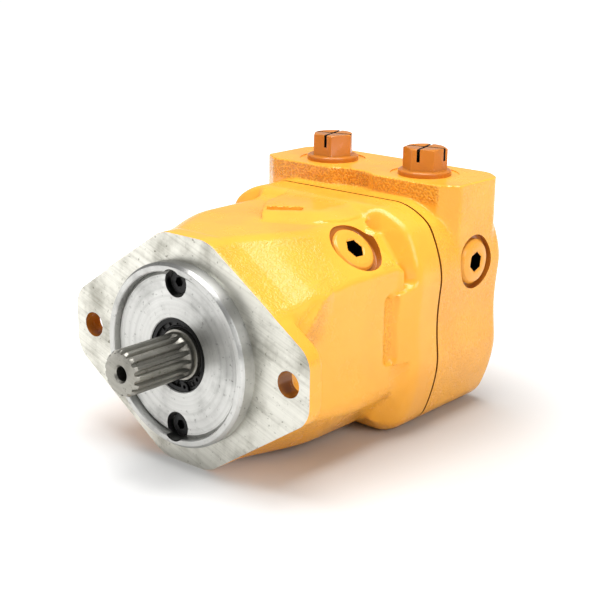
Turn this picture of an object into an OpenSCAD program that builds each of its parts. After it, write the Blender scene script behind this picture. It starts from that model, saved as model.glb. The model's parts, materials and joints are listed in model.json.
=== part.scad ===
// Swashplate axial piston pump, fixed displacement, two-bolt mounting flange.
// Frame: origin on the shaft axis at the mounting face, shaft towards -Y, +Z up. Millimetres.

/* [Mounting flange] */
// Diameter of the pilot spigot
pilot_d = 101.6; // [100:0.1:103]
// Height of the pilot spigot in front of the mounting face
pilot_h = 9.6; // [8:0.1:11]
// Distance between the two mounting holes
bolt_spacing = 146; // [144:0.5:150]
// Diameter of each mounting hole
bolt_hole_d = 14.3; // [13:0.1:15]
// Half width of the flange across its ears
ear_x = 87; // [85:0.5:92]
// Half height of the flat at the tip of an ear
ear_z = 17; // [14:0.5:20]
// Half height of the flange
flange_z = 64; // [62:0.5:66]
// Half width of the flat at the top and bottom of the flange
flange_x = 17; // [14:0.5:20]
// Thickness of the ears
ear_t = 10.5; // [9:0.5:14]

/* [Drive shaft] */
// Teeth of the drive spline
spline_teeth = 15; // [13:1:17]
// Diameter over the drive spline teeth
spline_d = 24.98; // [24.5:0.01:25.4]
// Distance from the mounting face to the end of the shaft
shaft_reach = 46.4; // [42:0.1:50]
// Diameter of the sealing collar
collar_d = 28.2; // [27:0.1:29]
// Diameter of the tapped hole in the shaft end
shaft_tap_d = 8; // [6:0.5:10]

/* [Housing] */
// Half width of the housing barrel
body_x = 68; // [66:0.5:70]
// Distance from the mounting face to the cover joint
joint_y = 130; // [128:0.5:132]
// Half width of the joint rim
rim_x = 75.4; // [74:0.2:77]
// Top of the joint rim
rim_top = 68.5; // [67:0.5:70]
// Radius of the chamber that holds the rotating group
chamber_r = 51; // [50:0.5:52]

/* [Cover] */
// Rear face of the cover
cover_y = 196; // [192:0.5:200]
// Half width of the port block
block_x = 73; // [71:0.5:75]
// Front face of the port block
block_y = 140.5; // [138:0.5:143]
// Top face of the port block
block_top = 79; // [77:0.5:81]
// Distance of each port from the middle
port_x = 35; // [33:0.5:37]
// Distance of the ports behind the mounting face
port_y = 166; // [164:0.5:168]
// Diameter of the port thread
port_d = 27; // [26:0.5:28]

/* [Rotating group] */
// Number of pistons
pistons = 9; // [9:1:9]
// Angle of the swashplate
swash_angle = 14; // [12:0.5:14]
// Radius of the circle of the piston balls in the swash plane
ball_circle_r = 32; // [31:0.5:32]
// Diameter of a piston
piston_d = 17.5; // [16:0.1:17.5]
// Length of a piston from its ball centre
piston_l = 51; // [49:0.5:51]
// Radius of a piston's ball
ball_r = 6.3; // [6:0.1:6.3]
// Diameter of the cylinder block
barrel_d = 91; // [90:0.5:92]
// Front face of the cylinder block
barrel_y = 70; // [69:0.5:71]

/* [Hidden] */
$fn = 72;
piston_names = [for (i = [1:pistons]) str("piston_", i)];
shoe_names = [for (i = [1:pistons]) str("shoe_", i)];

// Pilot, seal carrier and shaft seal
pilot_r = pilot_d / 2;
carrier_r = 46;
carrier_face = -pilot_h + 3.3;
carrier_back = 4;
hub_r = 32;
hub_back = 8;
seal_bore_r = 20.4;
screw_z = 40.1;
screw_pocket_r = 7.9;
screw_seat = 0.5;
collar_r = collar_d / 2;
collar_front = -4.9;

// Front bearing: the roller axis runs from the small end to the large end in (radius, y)
cup_r = 31;
cup_back = 24;
journal_r = 15;
roller_small = [22.2, 10.5];
roller_large = [24.5, 22.3];
roller_r1 = 2.6;
roller_r2 = 3.1;
roller_count = 16;
race_gap = 0.15;

// Rear bearing
rear_journal_r = 10;
rear_ring_r = 18;
rear_ring_y = 133;
rear_ring_l = 17;
rear_roller_r = 2.4;
rear_roller_circle = 12.6;
rear_roller_count = 12;

// Swashplate frame: its origin is where the plane of the ball centres cuts the shaft axis
swash_y = 53;
chamber_floor = 28;
shoe_h = 8.5;
shoe_flange_t = 2.9;
shoe_flange_r = 10.3;
shoe_neck_r = 8.1;
shoe_lip = 2.2;
socket_gap = 0.25;
guide_r = 19;
plate_gap = 0.2;
plate_t = 2.8;

// The ball centres trace an ellipse on the block, and the bores lie midway between its half axes
bore_circle_r = ball_circle_r * (1 + cos(swash_angle)) / 2;
bore_wander = ball_circle_r * (1 - cos(swash_angle)) / 2;
bore_r = piston_d / 2 + bore_wander + 0.125;
barrel_r = barrel_d / 2;
valve_plate_t = 4;
barrel_back = joint_y - valve_plate_t;
bore_floor = barrel_back - 12;
spring_y = 93;
spring_r = 17.5;

// Case drain plug on the upper right facet, and the plug in the cover's right side
drain_y = 78.6;
drain_seat = 72;
side_plug_y = 165.5;
side_plug_z = 31.7;
side_plug_seat = rim_x - 2.6;

// Bolts that hold the cover on
cover_bolt_spots = [[56, 47], [-56, 47], [54, -43], [-54, -43]];
cover_bolt_r = 6;
cover_bolt_head_r = 9;
cover_bolt_head_h = 12;
cover_bolt_seat = cover_y - 16;

// Dowels between the housing and cover, and in the swashplate and valve plate
dowel_spots = [[-64, 8], [64, 8]];
dowel_r = 4;
swash_dowel_x = 40;
valve_pin_z = -41;
valve_pin_r = 2.5;

// Raised pad on top of the housing, as corners given in (x, y, corner radius)
pad_top = 66.6;
pad_corners = [[-24, 95, 3], [-13, 74, 4], [5, 56, 5], [21, 61, 6], [31, 74, 5], [37, 95, 3]];
pad_slot_turn = 36;

paint = "#f0a62c";
bare_iron = "#9c9a92";
steel = "#8d8f90";
dark_steel = "#4a4b4a";
bronze = "#b98a4a";
rubber = "#1d1d1d";

// ---------------------------------------------------------------- outlines

function unit(v) = v / norm(v);

// Points of the arc that rounds the corner b between its neighbours a and c
function corner_arc(a, b, c, r, steps) =
  let (u = unit(a - b),
       w = unit(c - b),
       half = acos(u * w) / 2,
       centre = b + unit(u + w) * r / sin(half),
       from = b + u * r / tan(half) - centre,
       to = b + w * r / tan(half) - centre,
       start = atan2(from.y, from.x),
       turn = atan2(to.y, to.x) - start,
       sweep = turn > 180 ? turn - 360 : turn < -180 ? turn + 360 : turn)
  [for (i = [0:steps]) centre + r * [cos(start + sweep * i / steps), sin(start + sweep * i / steps)]];

// A closed outline from corners given as [x, z, corner radius]
function rounded(corners, steps = 5) =
  let (n = len(corners))
  [for (i = [0:n - 1])
    let (a = corners[(i + n - 1) % n], b = corners[i], c = corners[(i + 1) % n])
    each corner_arc([a.x, a.y], [b.x, b.y], [c.x, c.y], b.z, steps)];

// The corners of a right half outline, followed by their mirror images
function both_sides(right) =
  concat(right, [for (i = [len(right) - 1:-1:0]) [-right[i].x, right[i].y, right[i].z]]);

// A slot bent round the centre, between two angles, as an outline
function kidney(r, half_width, a0, a1, steps = 12) = concat(
  [for (i = [0:steps]) let (a = a0 + (a1 - a0) * i / steps) (r + half_width) * [cos(a), sin(a)]],
  [for (i = [1:5]) r * [cos(a1), sin(a1)] + half_width * [cos(a1 + 30 * i), sin(a1 + 30 * i)]],
  [for (i = [steps:-1:0]) let (a = a0 + (a1 - a0) * i / steps) (r - half_width) * [cos(a), sin(a)]],
  [for (i = [1:5]) r * [cos(a0), sin(a0)] - half_width * [cos(a0 + 30 * i), sin(a0 + 30 * i)]]);

// A toothed outline: each tooth has two root points and two tip points
function toothed(teeth, root_r, tip_r) =
  [for (i = [0:teeth - 1], k = [[-0.36, root_r], [-0.17, tip_r], [0.17, tip_r], [0.36, root_r]])
    let (a = 360 * (i + k[0]) / teeth) k[1] * [cos(a), sin(a)]];

// ------------------------------------------------------------- placements

// Turns an outline drawn in (x, z) into a solid between two y values
module slab(y0, y1) {
  translate([0, y1, 0]) rotate([90, 0, 0]) linear_extrude(y1 - y0) children();
}

// Turns a profile drawn in (radius, y) about the shaft axis
module turned() {
  rotate([-90, 0, 0]) rotate_extrude() children();
}

// A cylinder along the shaft axis
module rod(r, y0, y1) {
  translate([0, y0, 0]) rotate([-90, 0, 0]) cylinder(r = r, h = y1 - y0);
}

// A cylinder parallel to the shaft axis, at x and z
module rod_at(x, z, r, y0, y1) {
  translate([x, 0, z]) rod(r, y0, y1);
}

// A solid lofted through rings of points, all with the same number of points
module loft(rings) {
  n = len(rings[0]);
  last = len(rings) - 1;
  sides = [for (j = [0:last - 1], i = [0:n - 1])
    let (a = j * n + i, b = j * n + (i + 1) % n)
    each [[a, b, b + n], [a, b + n, a + n]]];
  front = [for (i = [n - 1:-1:0]) i];
  back = [for (i = [0:n - 1]) last * n + i];
  polyhedron([for (ring = rings) each ring], concat([front], sides, [back]), convexity = 6);
}

function ring_at(y, outline, grow = 1) = [for (p = outline) [p.x * grow, y, p.y * grow]];

// Places a part in the swashplate's frame, whose y axis is square to the running face
module on_swash() {
  translate([0, swash_y, 0]) rotate([swash_angle, 0, 0]) children();
}

// Places a part at one piston's ball, in the swashplate's frame
module at_ball(i) {
  turn = 360 * (i - 1) / pistons;
  on_swash() rotate([0, turn, 0]) translate([ball_circle_r, 0, 0]) children();
}

// Places a part drawn along +Z with its seat at zero on the drain boss
module at_drain() {
  translate([0, drain_y, 0]) rotate([0, 45, 0]) translate([0, 0, drain_seat]) children();
}

// Places a part drawn along +Z with its seat at zero on the cover's right side
module at_side_plug() {
  translate([side_plug_seat, side_plug_y, side_plug_z]) rotate([0, 90, 0]) children();
}

// --------------------------------------------------------- casing outlines

flange_outline = rounded(both_sides([
  [flange_x, -flange_z, 9], [ear_x, -ear_z, 7], [ear_x, ear_z, 7], [flange_x, flange_z, 9]]));

// Outline of the barrel: flat sides joined to the top and bottom by facets
function barrel_ring(y, side, side_z, top_x, top, low_z, low_x, bottom, r = 7) =
  ring_at(y, rounded(both_sides([
    [low_x, bottom, r], [side, low_z, r], [side, side_z, r], [top_x, top, r]])));

// Outline of the joint rim, with its slight waist at the middle of each side
function rim_outline(inset = 0) =
  let (x = rim_x - inset, r = 14)
  rounded(both_sides([
    [59.5 - inset, -64 + inset, 11], [x, -31, r], [x - 2.3, 3, 60], [x, 45, r],
    [57 - inset, rim_top - inset, r]]));

// ------------------------------------------------------------ casing parts

// The barrel and the rim of the casting, as one lofted form
module housing_form() {
  loft([
    barrel_ring(4, body_x, 29.5, 17, 63.8, -29.5, 17, -63.8),
    barrel_ring(11, body_x, 30.5, 18, 63.8, -30.5, 18, -63.6),
    barrel_ring(24, body_x, 36, 27, 64, -32, 26, -63),
    barrel_ring(46, body_x, 39, 39, 64, -32, 36, -62),
    barrel_ring(88, body_x + 0.5, 39.5, 39.5, 64, -32, 37, -61.5),
    barrel_ring(94, body_x - 0.5, 38.5, 38.5, 63.5, -31.5, 38, -61)]);
  loft([
    ring_at(91, rim_outline(10)),
    ring_at(96, rim_outline(9.5)),
    ring_at(102, rim_outline(4)),
    ring_at(107, rim_outline(1)),
    ring_at(111, rim_outline()),
    ring_at(joint_y, rim_outline())]);
}

// A part and its mirror image on the left side
module mirrored() {
  children();
  mirror([1, 0, 0]) children();
}

// Grooves in the corner between the barrel and the rim
module rim_valleys() {
  mirrored() {
    hull() {
      translate([40, 95, 72]) sphere(r = 7.5, $fn = 24);
      translate([75, 95, 42]) sphere(r = 7.5, $fn = 24);
    }
    hull() for (z = [-20, 16]) translate([76.5, 91.5, z]) sphere(r = 8.5, $fn = 24);
  }
}

// Webs behind the ears: a ridge runs down from the barrel's facet edge to the back of each ear
module ear_webs() {
  mirrored() hull() polyhedron([
    [67.2, 40, 37.5], [73.4, 9, 27], [74, 9, 25], [63.6, 9, 36.6], [70.6, 9, 4], [67, 22, 5],
    [67, 38, 30], [55, 9, 4], [55, 40, 30]],
    [[0, 1, 2], [3, 4, 5], [6, 7, 8]]);
}

// Cast pad on top, with a shallow slot across it
module top_pad() {
  difference() {
    translate([0, 0, 57]) linear_extrude(pad_top - 57) polygon(rounded(pad_corners));
    translate([5, 77, pad_top - 1.8]) rotate([0, 0, pad_slot_turn]) translate([-9, -2.5, 0]) cube([18, 5, 5]);
  }
}

module front_housing() {
  color(paint)
  difference() {
    union() {
      slab(0, ear_t) polygon(flange_outline);
      turned() polygon([
        [0, -pilot_h], [pilot_r - 1.5, -pilot_h], [pilot_r, -pilot_h + 1.9], [pilot_r, 1], [0, 1]]);
      difference() {
        housing_form();
        rim_valleys();
      }
      ear_webs();
      top_pad();
    }
    // Mounting holes
    for (x = [-1, 1] * bolt_spacing / 2) rod_at(x, 0, bolt_hole_d / 2, -1, ear_t + 30);
    // Pocket of the seal carrier, bearing bore and chamber
    rod(carrier_r, -pilot_h - 1, carrier_back);
    rod(hub_r, carrier_back - 1, hub_back);
    rod(cup_r, hub_back - 1, cup_back);
    rod(cup_r - 4, cup_back - 1, chamber_floor + 1);
    rod(chamber_r, chamber_floor, joint_y + 1);
    // Notches where the screw pockets break into the pilot ring, and the threads
    for (z = [-screw_z, screw_z]) {
      rod_at(0, z, screw_pocket_r, -pilot_h - 1, screw_seat);
      rod_at(0, z, 4, 0, 20);
    }
    // Groove of the joint's seal ring
    difference() {
      rod(57.4, joint_y - 2.6, joint_y + 1);
      rod(54.6, joint_y - 3, joint_y + 2);
    }
    for (spot = cover_bolt_spots) rod_at(spot.x, spot.y, cover_bolt_r, joint_y - 24, joint_y + 1);
    for (spot = dowel_spots) rod_at(spot.x, spot.y, dowel_r, joint_y - 10, joint_y + 1);
    for (x = [-1, 1] * swash_dowel_x) rod_at(x, 0, 3, chamber_floor - 8, chamber_floor + 1);
    at_drain() {
      cylinder(r = 17, h = 20);
      translate([0, 0, -15]) cylinder(r = 9, h = 16);
      translate([0, 0, -40]) cylinder(r = 6, h = 26);
    }
  }
}

// The cover casting without its drillings: a lofted lower body and the port block
module cover_form() {
  loft([
    ring_at(joint_y, rim_outline()),
    ring_at(cover_y - 12, rim_outline()),
    ring_at(cover_y - 6, rim_outline(2.2)),
    ring_at(cover_y - 2, rim_outline(5.5)),
    ring_at(cover_y, rim_outline(9))]);
  difference() {
    translate([0, 0, 20]) linear_extrude(block_top - 20) polygon(rounded([
      [block_x - 11, block_y, 4], [block_x, block_y + 8, 3],
      [block_x, cover_y - 9.5, 4], [block_x - 11, cover_y, 6],
      [-block_x + 11, cover_y, 6], [-block_x, cover_y - 9.5, 4],
      [-block_x, block_y + 8, 3], [-block_x + 11, block_y, 4]], 4));
    // Rounded groove down the front of the block, between the ports
    translate([0, block_y - 5.5, rim_top]) cylinder(r = 13, h = 20);
  }
}

module end_cover() {
  color(paint)
  difference() {
    cover_form();
    // Bearing bore
    rod(rear_ring_r, joint_y - 1, rear_ring_y + rear_ring_l);
    rod(rear_journal_r + 3, joint_y, rear_ring_y + rear_ring_l + 6);
    // Each kidney leads to a drilling that comes down from its port
    for (side = [0, 180]) {
      slab(joint_y - 1, port_y) polygon(kidney(bore_circle_r, 4.6, side - 55, side + 55));
    }
    for (x = [-port_x, port_x]) {
      translate([x, port_y, -22]) cylinder(r = 10, h = block_top);
      translate([x, port_y, block_top - 19]) cylinder(d = port_d, h = 20);
      translate([x, port_y, block_top - 0.6]) cylinder(r = 20.6, h = 2);
    }
    // Bolt holes with deep counterbores from the rear
    for (spot = cover_bolt_spots) {
      rod_at(spot.x, spot.y, cover_bolt_r + 0.5, joint_y - 1, cover_y);
      rod_at(spot.x, spot.y, cover_bolt_head_r + 1, cover_bolt_seat, cover_y + 1);
    }
    for (spot = dowel_spots) rod_at(spot.x, spot.y, dowel_r, joint_y - 1, joint_y + 10);
    rod_at(0, valve_pin_z, valve_pin_r, joint_y - 1, joint_y + 6);
    at_side_plug() {
      cylinder(r = 15.5, h = 10);
      translate([0, 0, -15]) cylinder(r = 7, h = 16);
      translate([0, 0, -36]) cylinder(r = 3, h = 22);
    }
  }
}

module housing_o_ring() {
  color(rubber) turned() translate([56, joint_y - 1.25]) circle(r = 1.2, $fn = 24);
}

// A socket-head screw along +Y, with the underside of its head at zero
module socket_screw(r, length, head_r, head_h, socket) {
  rod(r, -length, 0.1);
  difference() {
    rod(head_r, 0, head_h);
    translate([0, 0.5 * head_h, 0]) rotate([-90, 0, 0]) cylinder(d = socket / cos(30), h = head_h, $fn = 6);
  }
}

module cover_bolts() {
  color(paint)
  for (spot = cover_bolt_spots) {
    translate([spot.x, cover_bolt_seat, spot.y])
      socket_screw(cover_bolt_r, cover_bolt_seat - joint_y + 22, cover_bolt_head_r, cover_bolt_head_h, 10);
  }
}

module cover_dowels() {
  color(steel) for (spot = dowel_spots) rod_at(spot.x, spot.y, dowel_r, joint_y - 9.5, joint_y + 9.5);
}

// ------------------------------------------------------- seal and bearings

module seal_carrier() {
  color(bare_iron)
  difference() {
    turned() polygon([
      [seal_bore_r, carrier_face], [carrier_r - 1.8, carrier_face], [carrier_r, carrier_face + 1.6],
      [carrier_r, carrier_back], [hub_r, carrier_back], [hub_r, carrier_back + 0.7],
      [hub_r - 2.4, carrier_back + 0.7], [hub_r - 2.4, carrier_back + 3.1],
      [hub_r, carrier_back + 3.1], [hub_r, hub_back], [collar_r + 3.4, hub_back],
      [collar_r + 3.4, carrier_back], [seal_bore_r, carrier_back]]);
    // Snap ring groove
    difference() {
      rod(seal_bore_r + 1.1, carrier_face + 0.9, carrier_face + 2.5);
      rod(seal_bore_r - 1, carrier_face, carrier_face + 3);
    }
    for (z = [-screw_z, screw_z]) {
      rod_at(0, z, screw_pocket_r, carrier_face - 1, screw_seat);
      rod_at(0, z, 4.5, 0, carrier_back + 1);
    }
  }
}

module seal_carrier_screws() {
  color(rubber)
  for (z = [-screw_z, screw_z]) {
    translate([0, screw_seat, z]) mirror([0, 1, 0]) socket_screw(4, 18, 6.5, 5, 5);
  }
}

module seal_carrier_o_ring() {
  color(rubber) turned() translate([hub_r - 1.15, carrier_back + 1.9]) circle(r = 1.1, $fn = 24);
}

module shaft_seal() {
  front = carrier_face + 2.6;
  color(rubber)
  turned() polygon([
    [seal_bore_r, front], [seal_bore_r - 2.2, front], [seal_bore_r - 2.2, front + 4.2],
    [collar_r + 2.4, front + 4.2], [collar_r + 1.3, front + 1.1], [collar_r + 0.15, front + 1.6],
    [collar_r + 0.9, front + 6.4], [seal_bore_r, front + 6.4]]);
}

module seal_circlip() {
  color(rubber)
  slab(carrier_face + 1, carrier_face + 2.4) {
    difference() {
      circle(r = seal_bore_r + 0.9);
      circle(r = seal_bore_r - 2.6);
      rotate(-58) translate([0, -2.6]) square([30, 5.2]);
    }
    // Pierced lugs at the gap
    for (a = [-68, -48]) {
      rotate(a) translate([seal_bore_r - 3, 0]) difference() {
        circle(r = 2.6, $fn = 32);
        circle(r = 1.1, $fn = 24);
      }
    }
  }
}

module front_bearing_cup() {
  slope = (roller_large.x + roller_r2 - roller_small.x - roller_r1) / (roller_large.y - roller_small.y);
  race = roller_small.x + roller_r1 + race_gap;
  color(steel)
  turned() polygon([
    [cup_r, hub_back + 0.1], [race + slope * (hub_back + 0.1 - roller_small.y), hub_back + 0.1],
    [race + slope * (cup_back - roller_small.y), cup_back], [cup_r, cup_back]]);
}

module front_bearing_cone() {
  color(steel)
  turned() polygon([
    [journal_r, hub_back + 0.5], [18.8, hub_back + 0.5], [19.4, 11], [21.2, 22.9],
    [22.8, 23.2], [22.8, 26], [journal_r, 26]]);
}

// One tapered roller of the front bearing, or its cage pocket when grown
module tapered_roller(grow = 0) {
  run = roller_large - roller_small;
  translate([roller_small.x, roller_small.y, 0]) rotate([-90, 0, 0]) rotate([0, atan2(run.x, run.y), 0])
    translate([0, 0, -grow])
      cylinder(r1 = roller_r1 + grow, r2 = roller_r2 + grow, h = norm(run) + 2 * grow, $fn = 32);
}

module front_bearing_rollers() {
  color(steel) for (i = [1:roller_count]) rotate([0, 360 * i / roller_count, 0]) tapered_roller();
}

module front_bearing_cage() {
  along = unit(roller_large - roller_small);
  across = [along.y, -along.x] * 0.6;
  small_end = roller_small - along * 1.5;
  large_end = roller_large + along * 1.3;
  color(bronze)
  difference() {
    turned() polygon([small_end - across, large_end - across, large_end + across, small_end + across]);
    for (i = [1:roller_count]) rotate([0, 360 * i / roller_count, 0]) tapered_roller(0.12);
  }
}

module rear_bearing_ring() {
  race = rear_roller_circle + rear_roller_r + race_gap;
  color(steel)
  turned() polygon([
    [rear_ring_r, rear_ring_y], [race - 1.2, rear_ring_y], [race - 1.2, rear_ring_y + 1.2],
    [race, rear_ring_y + 1.2], [race, rear_ring_y + rear_ring_l - 1.2],
    [race - 1.2, rear_ring_y + rear_ring_l - 1.2], [race - 1.2, rear_ring_y + rear_ring_l],
    [rear_ring_r, rear_ring_y + rear_ring_l]]);
}

module rear_bearing_rollers() {
  color(steel)
  for (i = [1:rear_roller_count]) {
    rotate([0, 360 * i / rear_roller_count, 0])
      rod_at(rear_roller_circle, 0, rear_roller_r, rear_ring_y + 1.6, rear_ring_y + rear_ring_l - 1.6);
  }
}

// -------------------------------------------------- swashplate, valve plate

module swashplate() {
  color(steel)
  difference() {
    rod(49, chamber_floor, swash_y + 16);
    // Everything above the running face, and the step round it
    on_swash() translate([-70, -shoe_h, -70]) cube([140, 60, 140]);
    on_swash() difference() {
      rod(60, -shoe_h - 1.2, 0);
      rod(ball_circle_r + shoe_flange_r + 1, -shoe_h - 3, 1);
    }
    on_swash() rod(20.2, -40, 20);
    rod(24, chamber_floor - 1, chamber_floor + 5.5);
    for (x = [-1, 1] * swash_dowel_x) rod_at(x, 0, 3, chamber_floor - 1, chamber_floor + 7);
  }
}

module swashplate_dowels() {
  color(steel)
  for (x = [-1, 1] * swash_dowel_x) rod_at(x, 0, 2.98, chamber_floor - 7.5, chamber_floor + 6.5);
}

module valve_plate() {
  color(bronze)
  difference() {
    rod(barrel_r - 0.5, barrel_back, joint_y);
    rod(rear_ring_r + 0.5, barrel_back - 1, joint_y + 1);
    for (side = [0, 180]) {
      slab(barrel_back - 1, joint_y + 1) polygon(kidney(bore_circle_r, 4.6, side - 68, side + 68));
      // Pressure relief notch at the start of each kidney
      slab(barrel_back - 1, barrel_back + 1.2) rotate(side + 74)
        polygon([[bore_circle_r - 1.6, -2], [bore_circle_r + 1.6, -2], [bore_circle_r, 6]]);
    }
    rod_at(0, valve_pin_z, valve_pin_r, barrel_back + 1, joint_y + 1);
  }
}

module valve_plate_pin() {
  color(steel) rod_at(0, valve_pin_z, valve_pin_r - 0.02, barrel_back + 1.2, joint_y + 5.5);
}

// ------------------------------------------------------------------ plugs

// A round-headed screw plug along +Z with a hexagon socket and its seat at zero
module screw_plug(head_r, head_h, thread_r, length, socket) {
  difference() {
    union() {
      rotate_extrude() polygon([
        [0, 0], [head_r, 0], [head_r, head_h * 0.45], [head_r - head_h * 0.2, head_h * 0.8],
        [head_r - head_h * 0.6, head_h], [0, head_h]]);
      translate([0, 0, -length]) cylinder(r = thread_r, h = length + 0.1);
    }
    translate([0, 0, head_h - 5.5]) cylinder(d = socket / cos(30), h = 6, $fn = 6);
  }
}

// A seal ring that lies under a plug's head, in the mouth of its thread
module plug_seal(inner_r, outer_r) {
  difference() {
    cylinder(r = outer_r, h = 1.2);
    translate([0, 0, -1]) cylinder(r = inner_r, h = 4);
  }
}

module case_drain_plug() {
  color(paint) at_drain() translate([0, 0, 1.2]) screw_plug(13, 4.2, 9, 14, 9);
}

module case_drain_seal() {
  color(rubber) at_drain() plug_seal(9, 12.2);
}

module side_plug() {
  color(paint) at_side_plug() translate([0, 0, 1.2]) screw_plug(12.5, 2.2, 7, 14, 9);
}

module side_plug_seal() {
  color(rubber) at_side_plug() plug_seal(7, 11.6);
}

// A flanged hexagon plug with a cross slot sawn into its head
module port_plug(x, turn) {
  head_top = 16.4;
  translate([x, port_y, block_top - 0.6]) rotate([0, 0, turn])
  difference() {
    union() {
      translate([0, 0, 0.8]) cylinder(r = 16, h = 3.2);
      translate([0, 0, 3.9]) cylinder(d = 23 / cos(30), h = head_top - 3.9, $fn = 6);
      translate([0, 0, -15]) cylinder(d = port_d, h = 16);
    }
    for (a = [15, 105]) {
      rotate([0, 0, a]) translate([-20, -0.9, head_top - 7.5]) cube([40, 1.8, 9]);
    }
  }
}

module port_plug_left() {
  color(paint) port_plug(-port_x, 4);
}

module port_plug_right() {
  color(paint) port_plug(port_x, 28);
}

module port_seals() {
  color(rubber)
  for (x = [-port_x, port_x]) {
    translate([x, port_y, block_top - 0.6]) difference() {
      cylinder(r = 15.6, h = 0.8);
      translate([0, 0, -1]) cylinder(d = port_d, h = 3);
    }
  }
}

// --------------------------------------------------------- rotating group

module drive_shaft() {
  spline_r = spline_d / 2;
  color(dark_steel)
  difference() {
    union() {
      intersection() {
        slab(-shaft_reach, -6) polygon(toothed(spline_teeth, spline_r - 1.75, spline_r));
        turned() polygon([
          [0, -shaft_reach], [spline_r - 1, -shaft_reach], [spline_r + 1, -shaft_reach + 2.4],
          [spline_r + 1, 0], [0, 0]]);
      }
      // Run-out of the teeth, collar, bearing journal and shoulder
      turned() polygon([
        [0, -14], [spline_r - 2.4, -14], [spline_r + 0.3, -7.5], [spline_r + 0.3, collar_front],
        [collar_r - 0.7, collar_front], [collar_r, collar_front + 0.7], [collar_r, hub_back],
        [journal_r, hub_back], [journal_r, 26], [17.5, 26], [17.5, 32], [14, 33], [14, 56],
        [11.9, 57], [11.9, 104.5], [11.6, 104.5], [11.6, 131], [rear_journal_r, 131],
        [rear_journal_r, 150], [rear_journal_r - 1, 151], [0, 151]]);
      slab(55.5, 104) polygon(toothed(16, 11.8, 13.2));
    }
    rod(shaft_tap_d / 2, -shaft_reach - 1, -shaft_reach + 20);
  }
}

module cylinder_block() {
  color(steel)
  difference() {
    turned() polygon([
      [10, barrel_y], [barrel_r - 1.5, barrel_y], [barrel_r, barrel_y + 1.5],
      [barrel_r, barrel_back - 6], [barrel_r - 2.5, barrel_back - 3.5], [barrel_r - 2.5, barrel_back - 0.8],
      [bore_circle_r + 8, barrel_back - 0.8], [bore_circle_r + 7, barrel_back],
      [bore_circle_r - 7, barrel_back], [bore_circle_r - 8, barrel_back - 0.8], [10, barrel_back - 0.8]]);
    for (i = [1:pistons]) {
      rotate([0, 360 * (i - 1) / pistons, 0]) {
        rod_at(bore_circle_r, 0, bore_r, barrel_y - 1, bore_floor);
        slab(bore_floor - 1, barrel_back + 1) polygon(kidney(bore_circle_r, 3.6, -9, 9, 4));
      }
    }
    // Splined hub, guide recess and spring chamber
    slab(barrel_y - 1, barrel_back + 1) polygon(toothed(16, 12, 13.35));
    rod(guide_r, barrel_y - 1, barrel_y + 6);
    rod(spring_r, spring_y, barrel_back + 1);
    rod(spring_r + 1.2, barrel_back - 8, barrel_back - 6.2);
    for (i = [0:2]) rotate([0, 120 * i, 0]) rod_at(15.6, 0, 1.75, barrel_y, spring_y + 1);
  }
}

module ball_guide() {
  color(steel)
  difference() {
    turned() {
      intersection() {
        translate([0, swash_y]) circle(r = guide_r);
        translate([10, swash_y - 8.5]) square([guide_r, 17]);
      }
      translate([10, swash_y + 7]) square([7, 7]);
    }
    rod(14.2, swash_y - 20, swash_y + 5);
    slab(swash_y + 5, swash_y + 20) polygon(toothed(16, 12, 13.35));
  }
}

// The points of one ring round the spring wire
function wire_ring(coil_r, wire_r, turn, y) =
  [for (k = [0:7]) let (a = 45 * k, r = coil_r + wire_r * cos(a))
    [r * cos(turn), y + wire_r * sin(a), -r * sin(turn)]];

module block_spring() {
  turns = 4.5;
  steps = 24;
  y0 = spring_y + 3.6;
  rise = 18;
  color(steel)
  loft([for (i = [0:turns * steps])
    let (share = i / (turns * steps)) wire_ring(15.4, 1.5, -360 * turns * share, y0 + rise * share)]);
}

module washer(outer_r, inner_r, y0, y1) {
  difference() {
    rod(outer_r, y0, y1);
    rod(inner_r, y0 - 1, y1 + 1);
  }
}

module spring_front_washer() {
  color(steel) washer(spring_r - 0.3, 13.5, spring_y, spring_y + 2);
}

module spring_rear_washer() {
  color(steel) washer(spring_r - 0.3, 13, barrel_back - 9.8, barrel_back - 8);
}

module spring_snap_ring() {
  color(steel)
  difference() {
    washer(spring_r + 1, spring_r - 2, barrel_back - 7.9, barrel_back - 6.3);
    translate([-3, barrel_back - 12, 0]) cube([6, 12, 30]);
  }
}

module pressure_pins() {
  color(steel)
  for (i = [0:2]) rotate([0, 120 * i, 0]) rod_at(15.6, 0, 1.6, swash_y + 14, spring_y);
}

module retainer_plate() {
  top = -shoe_h + shoe_flange_t + plate_gap + plate_t;
  color(steel)
  on_swash()
  difference() {
    rod(ball_circle_r + shoe_flange_r + 0.7, top - plate_t, top);
    sphere(r = guide_r + socket_gap);
    for (i = [1:pistons]) {
      rotate([0, 360 * (i - 1) / pistons, 0])
        rod_at(ball_circle_r, 0, shoe_neck_r + 0.4, top - plate_t - 1, top + 1);
    }
  }
}

module shoe(i) {
  color(bronze)
  at_ball(i)
  turned() difference() {
    polygon([
      [0.8, -shoe_h + 0.5], [5.6, -shoe_h + 0.5], [5.6, -shoe_h], [shoe_flange_r, -shoe_h],
      [shoe_flange_r, -shoe_h + shoe_flange_t], [shoe_neck_r, -shoe_h + shoe_flange_t],
      [shoe_neck_r, 0.6], [shoe_neck_r - 1, shoe_lip], [0.8, shoe_lip]]);
    circle(r = ball_r + socket_gap);
  }
}

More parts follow.
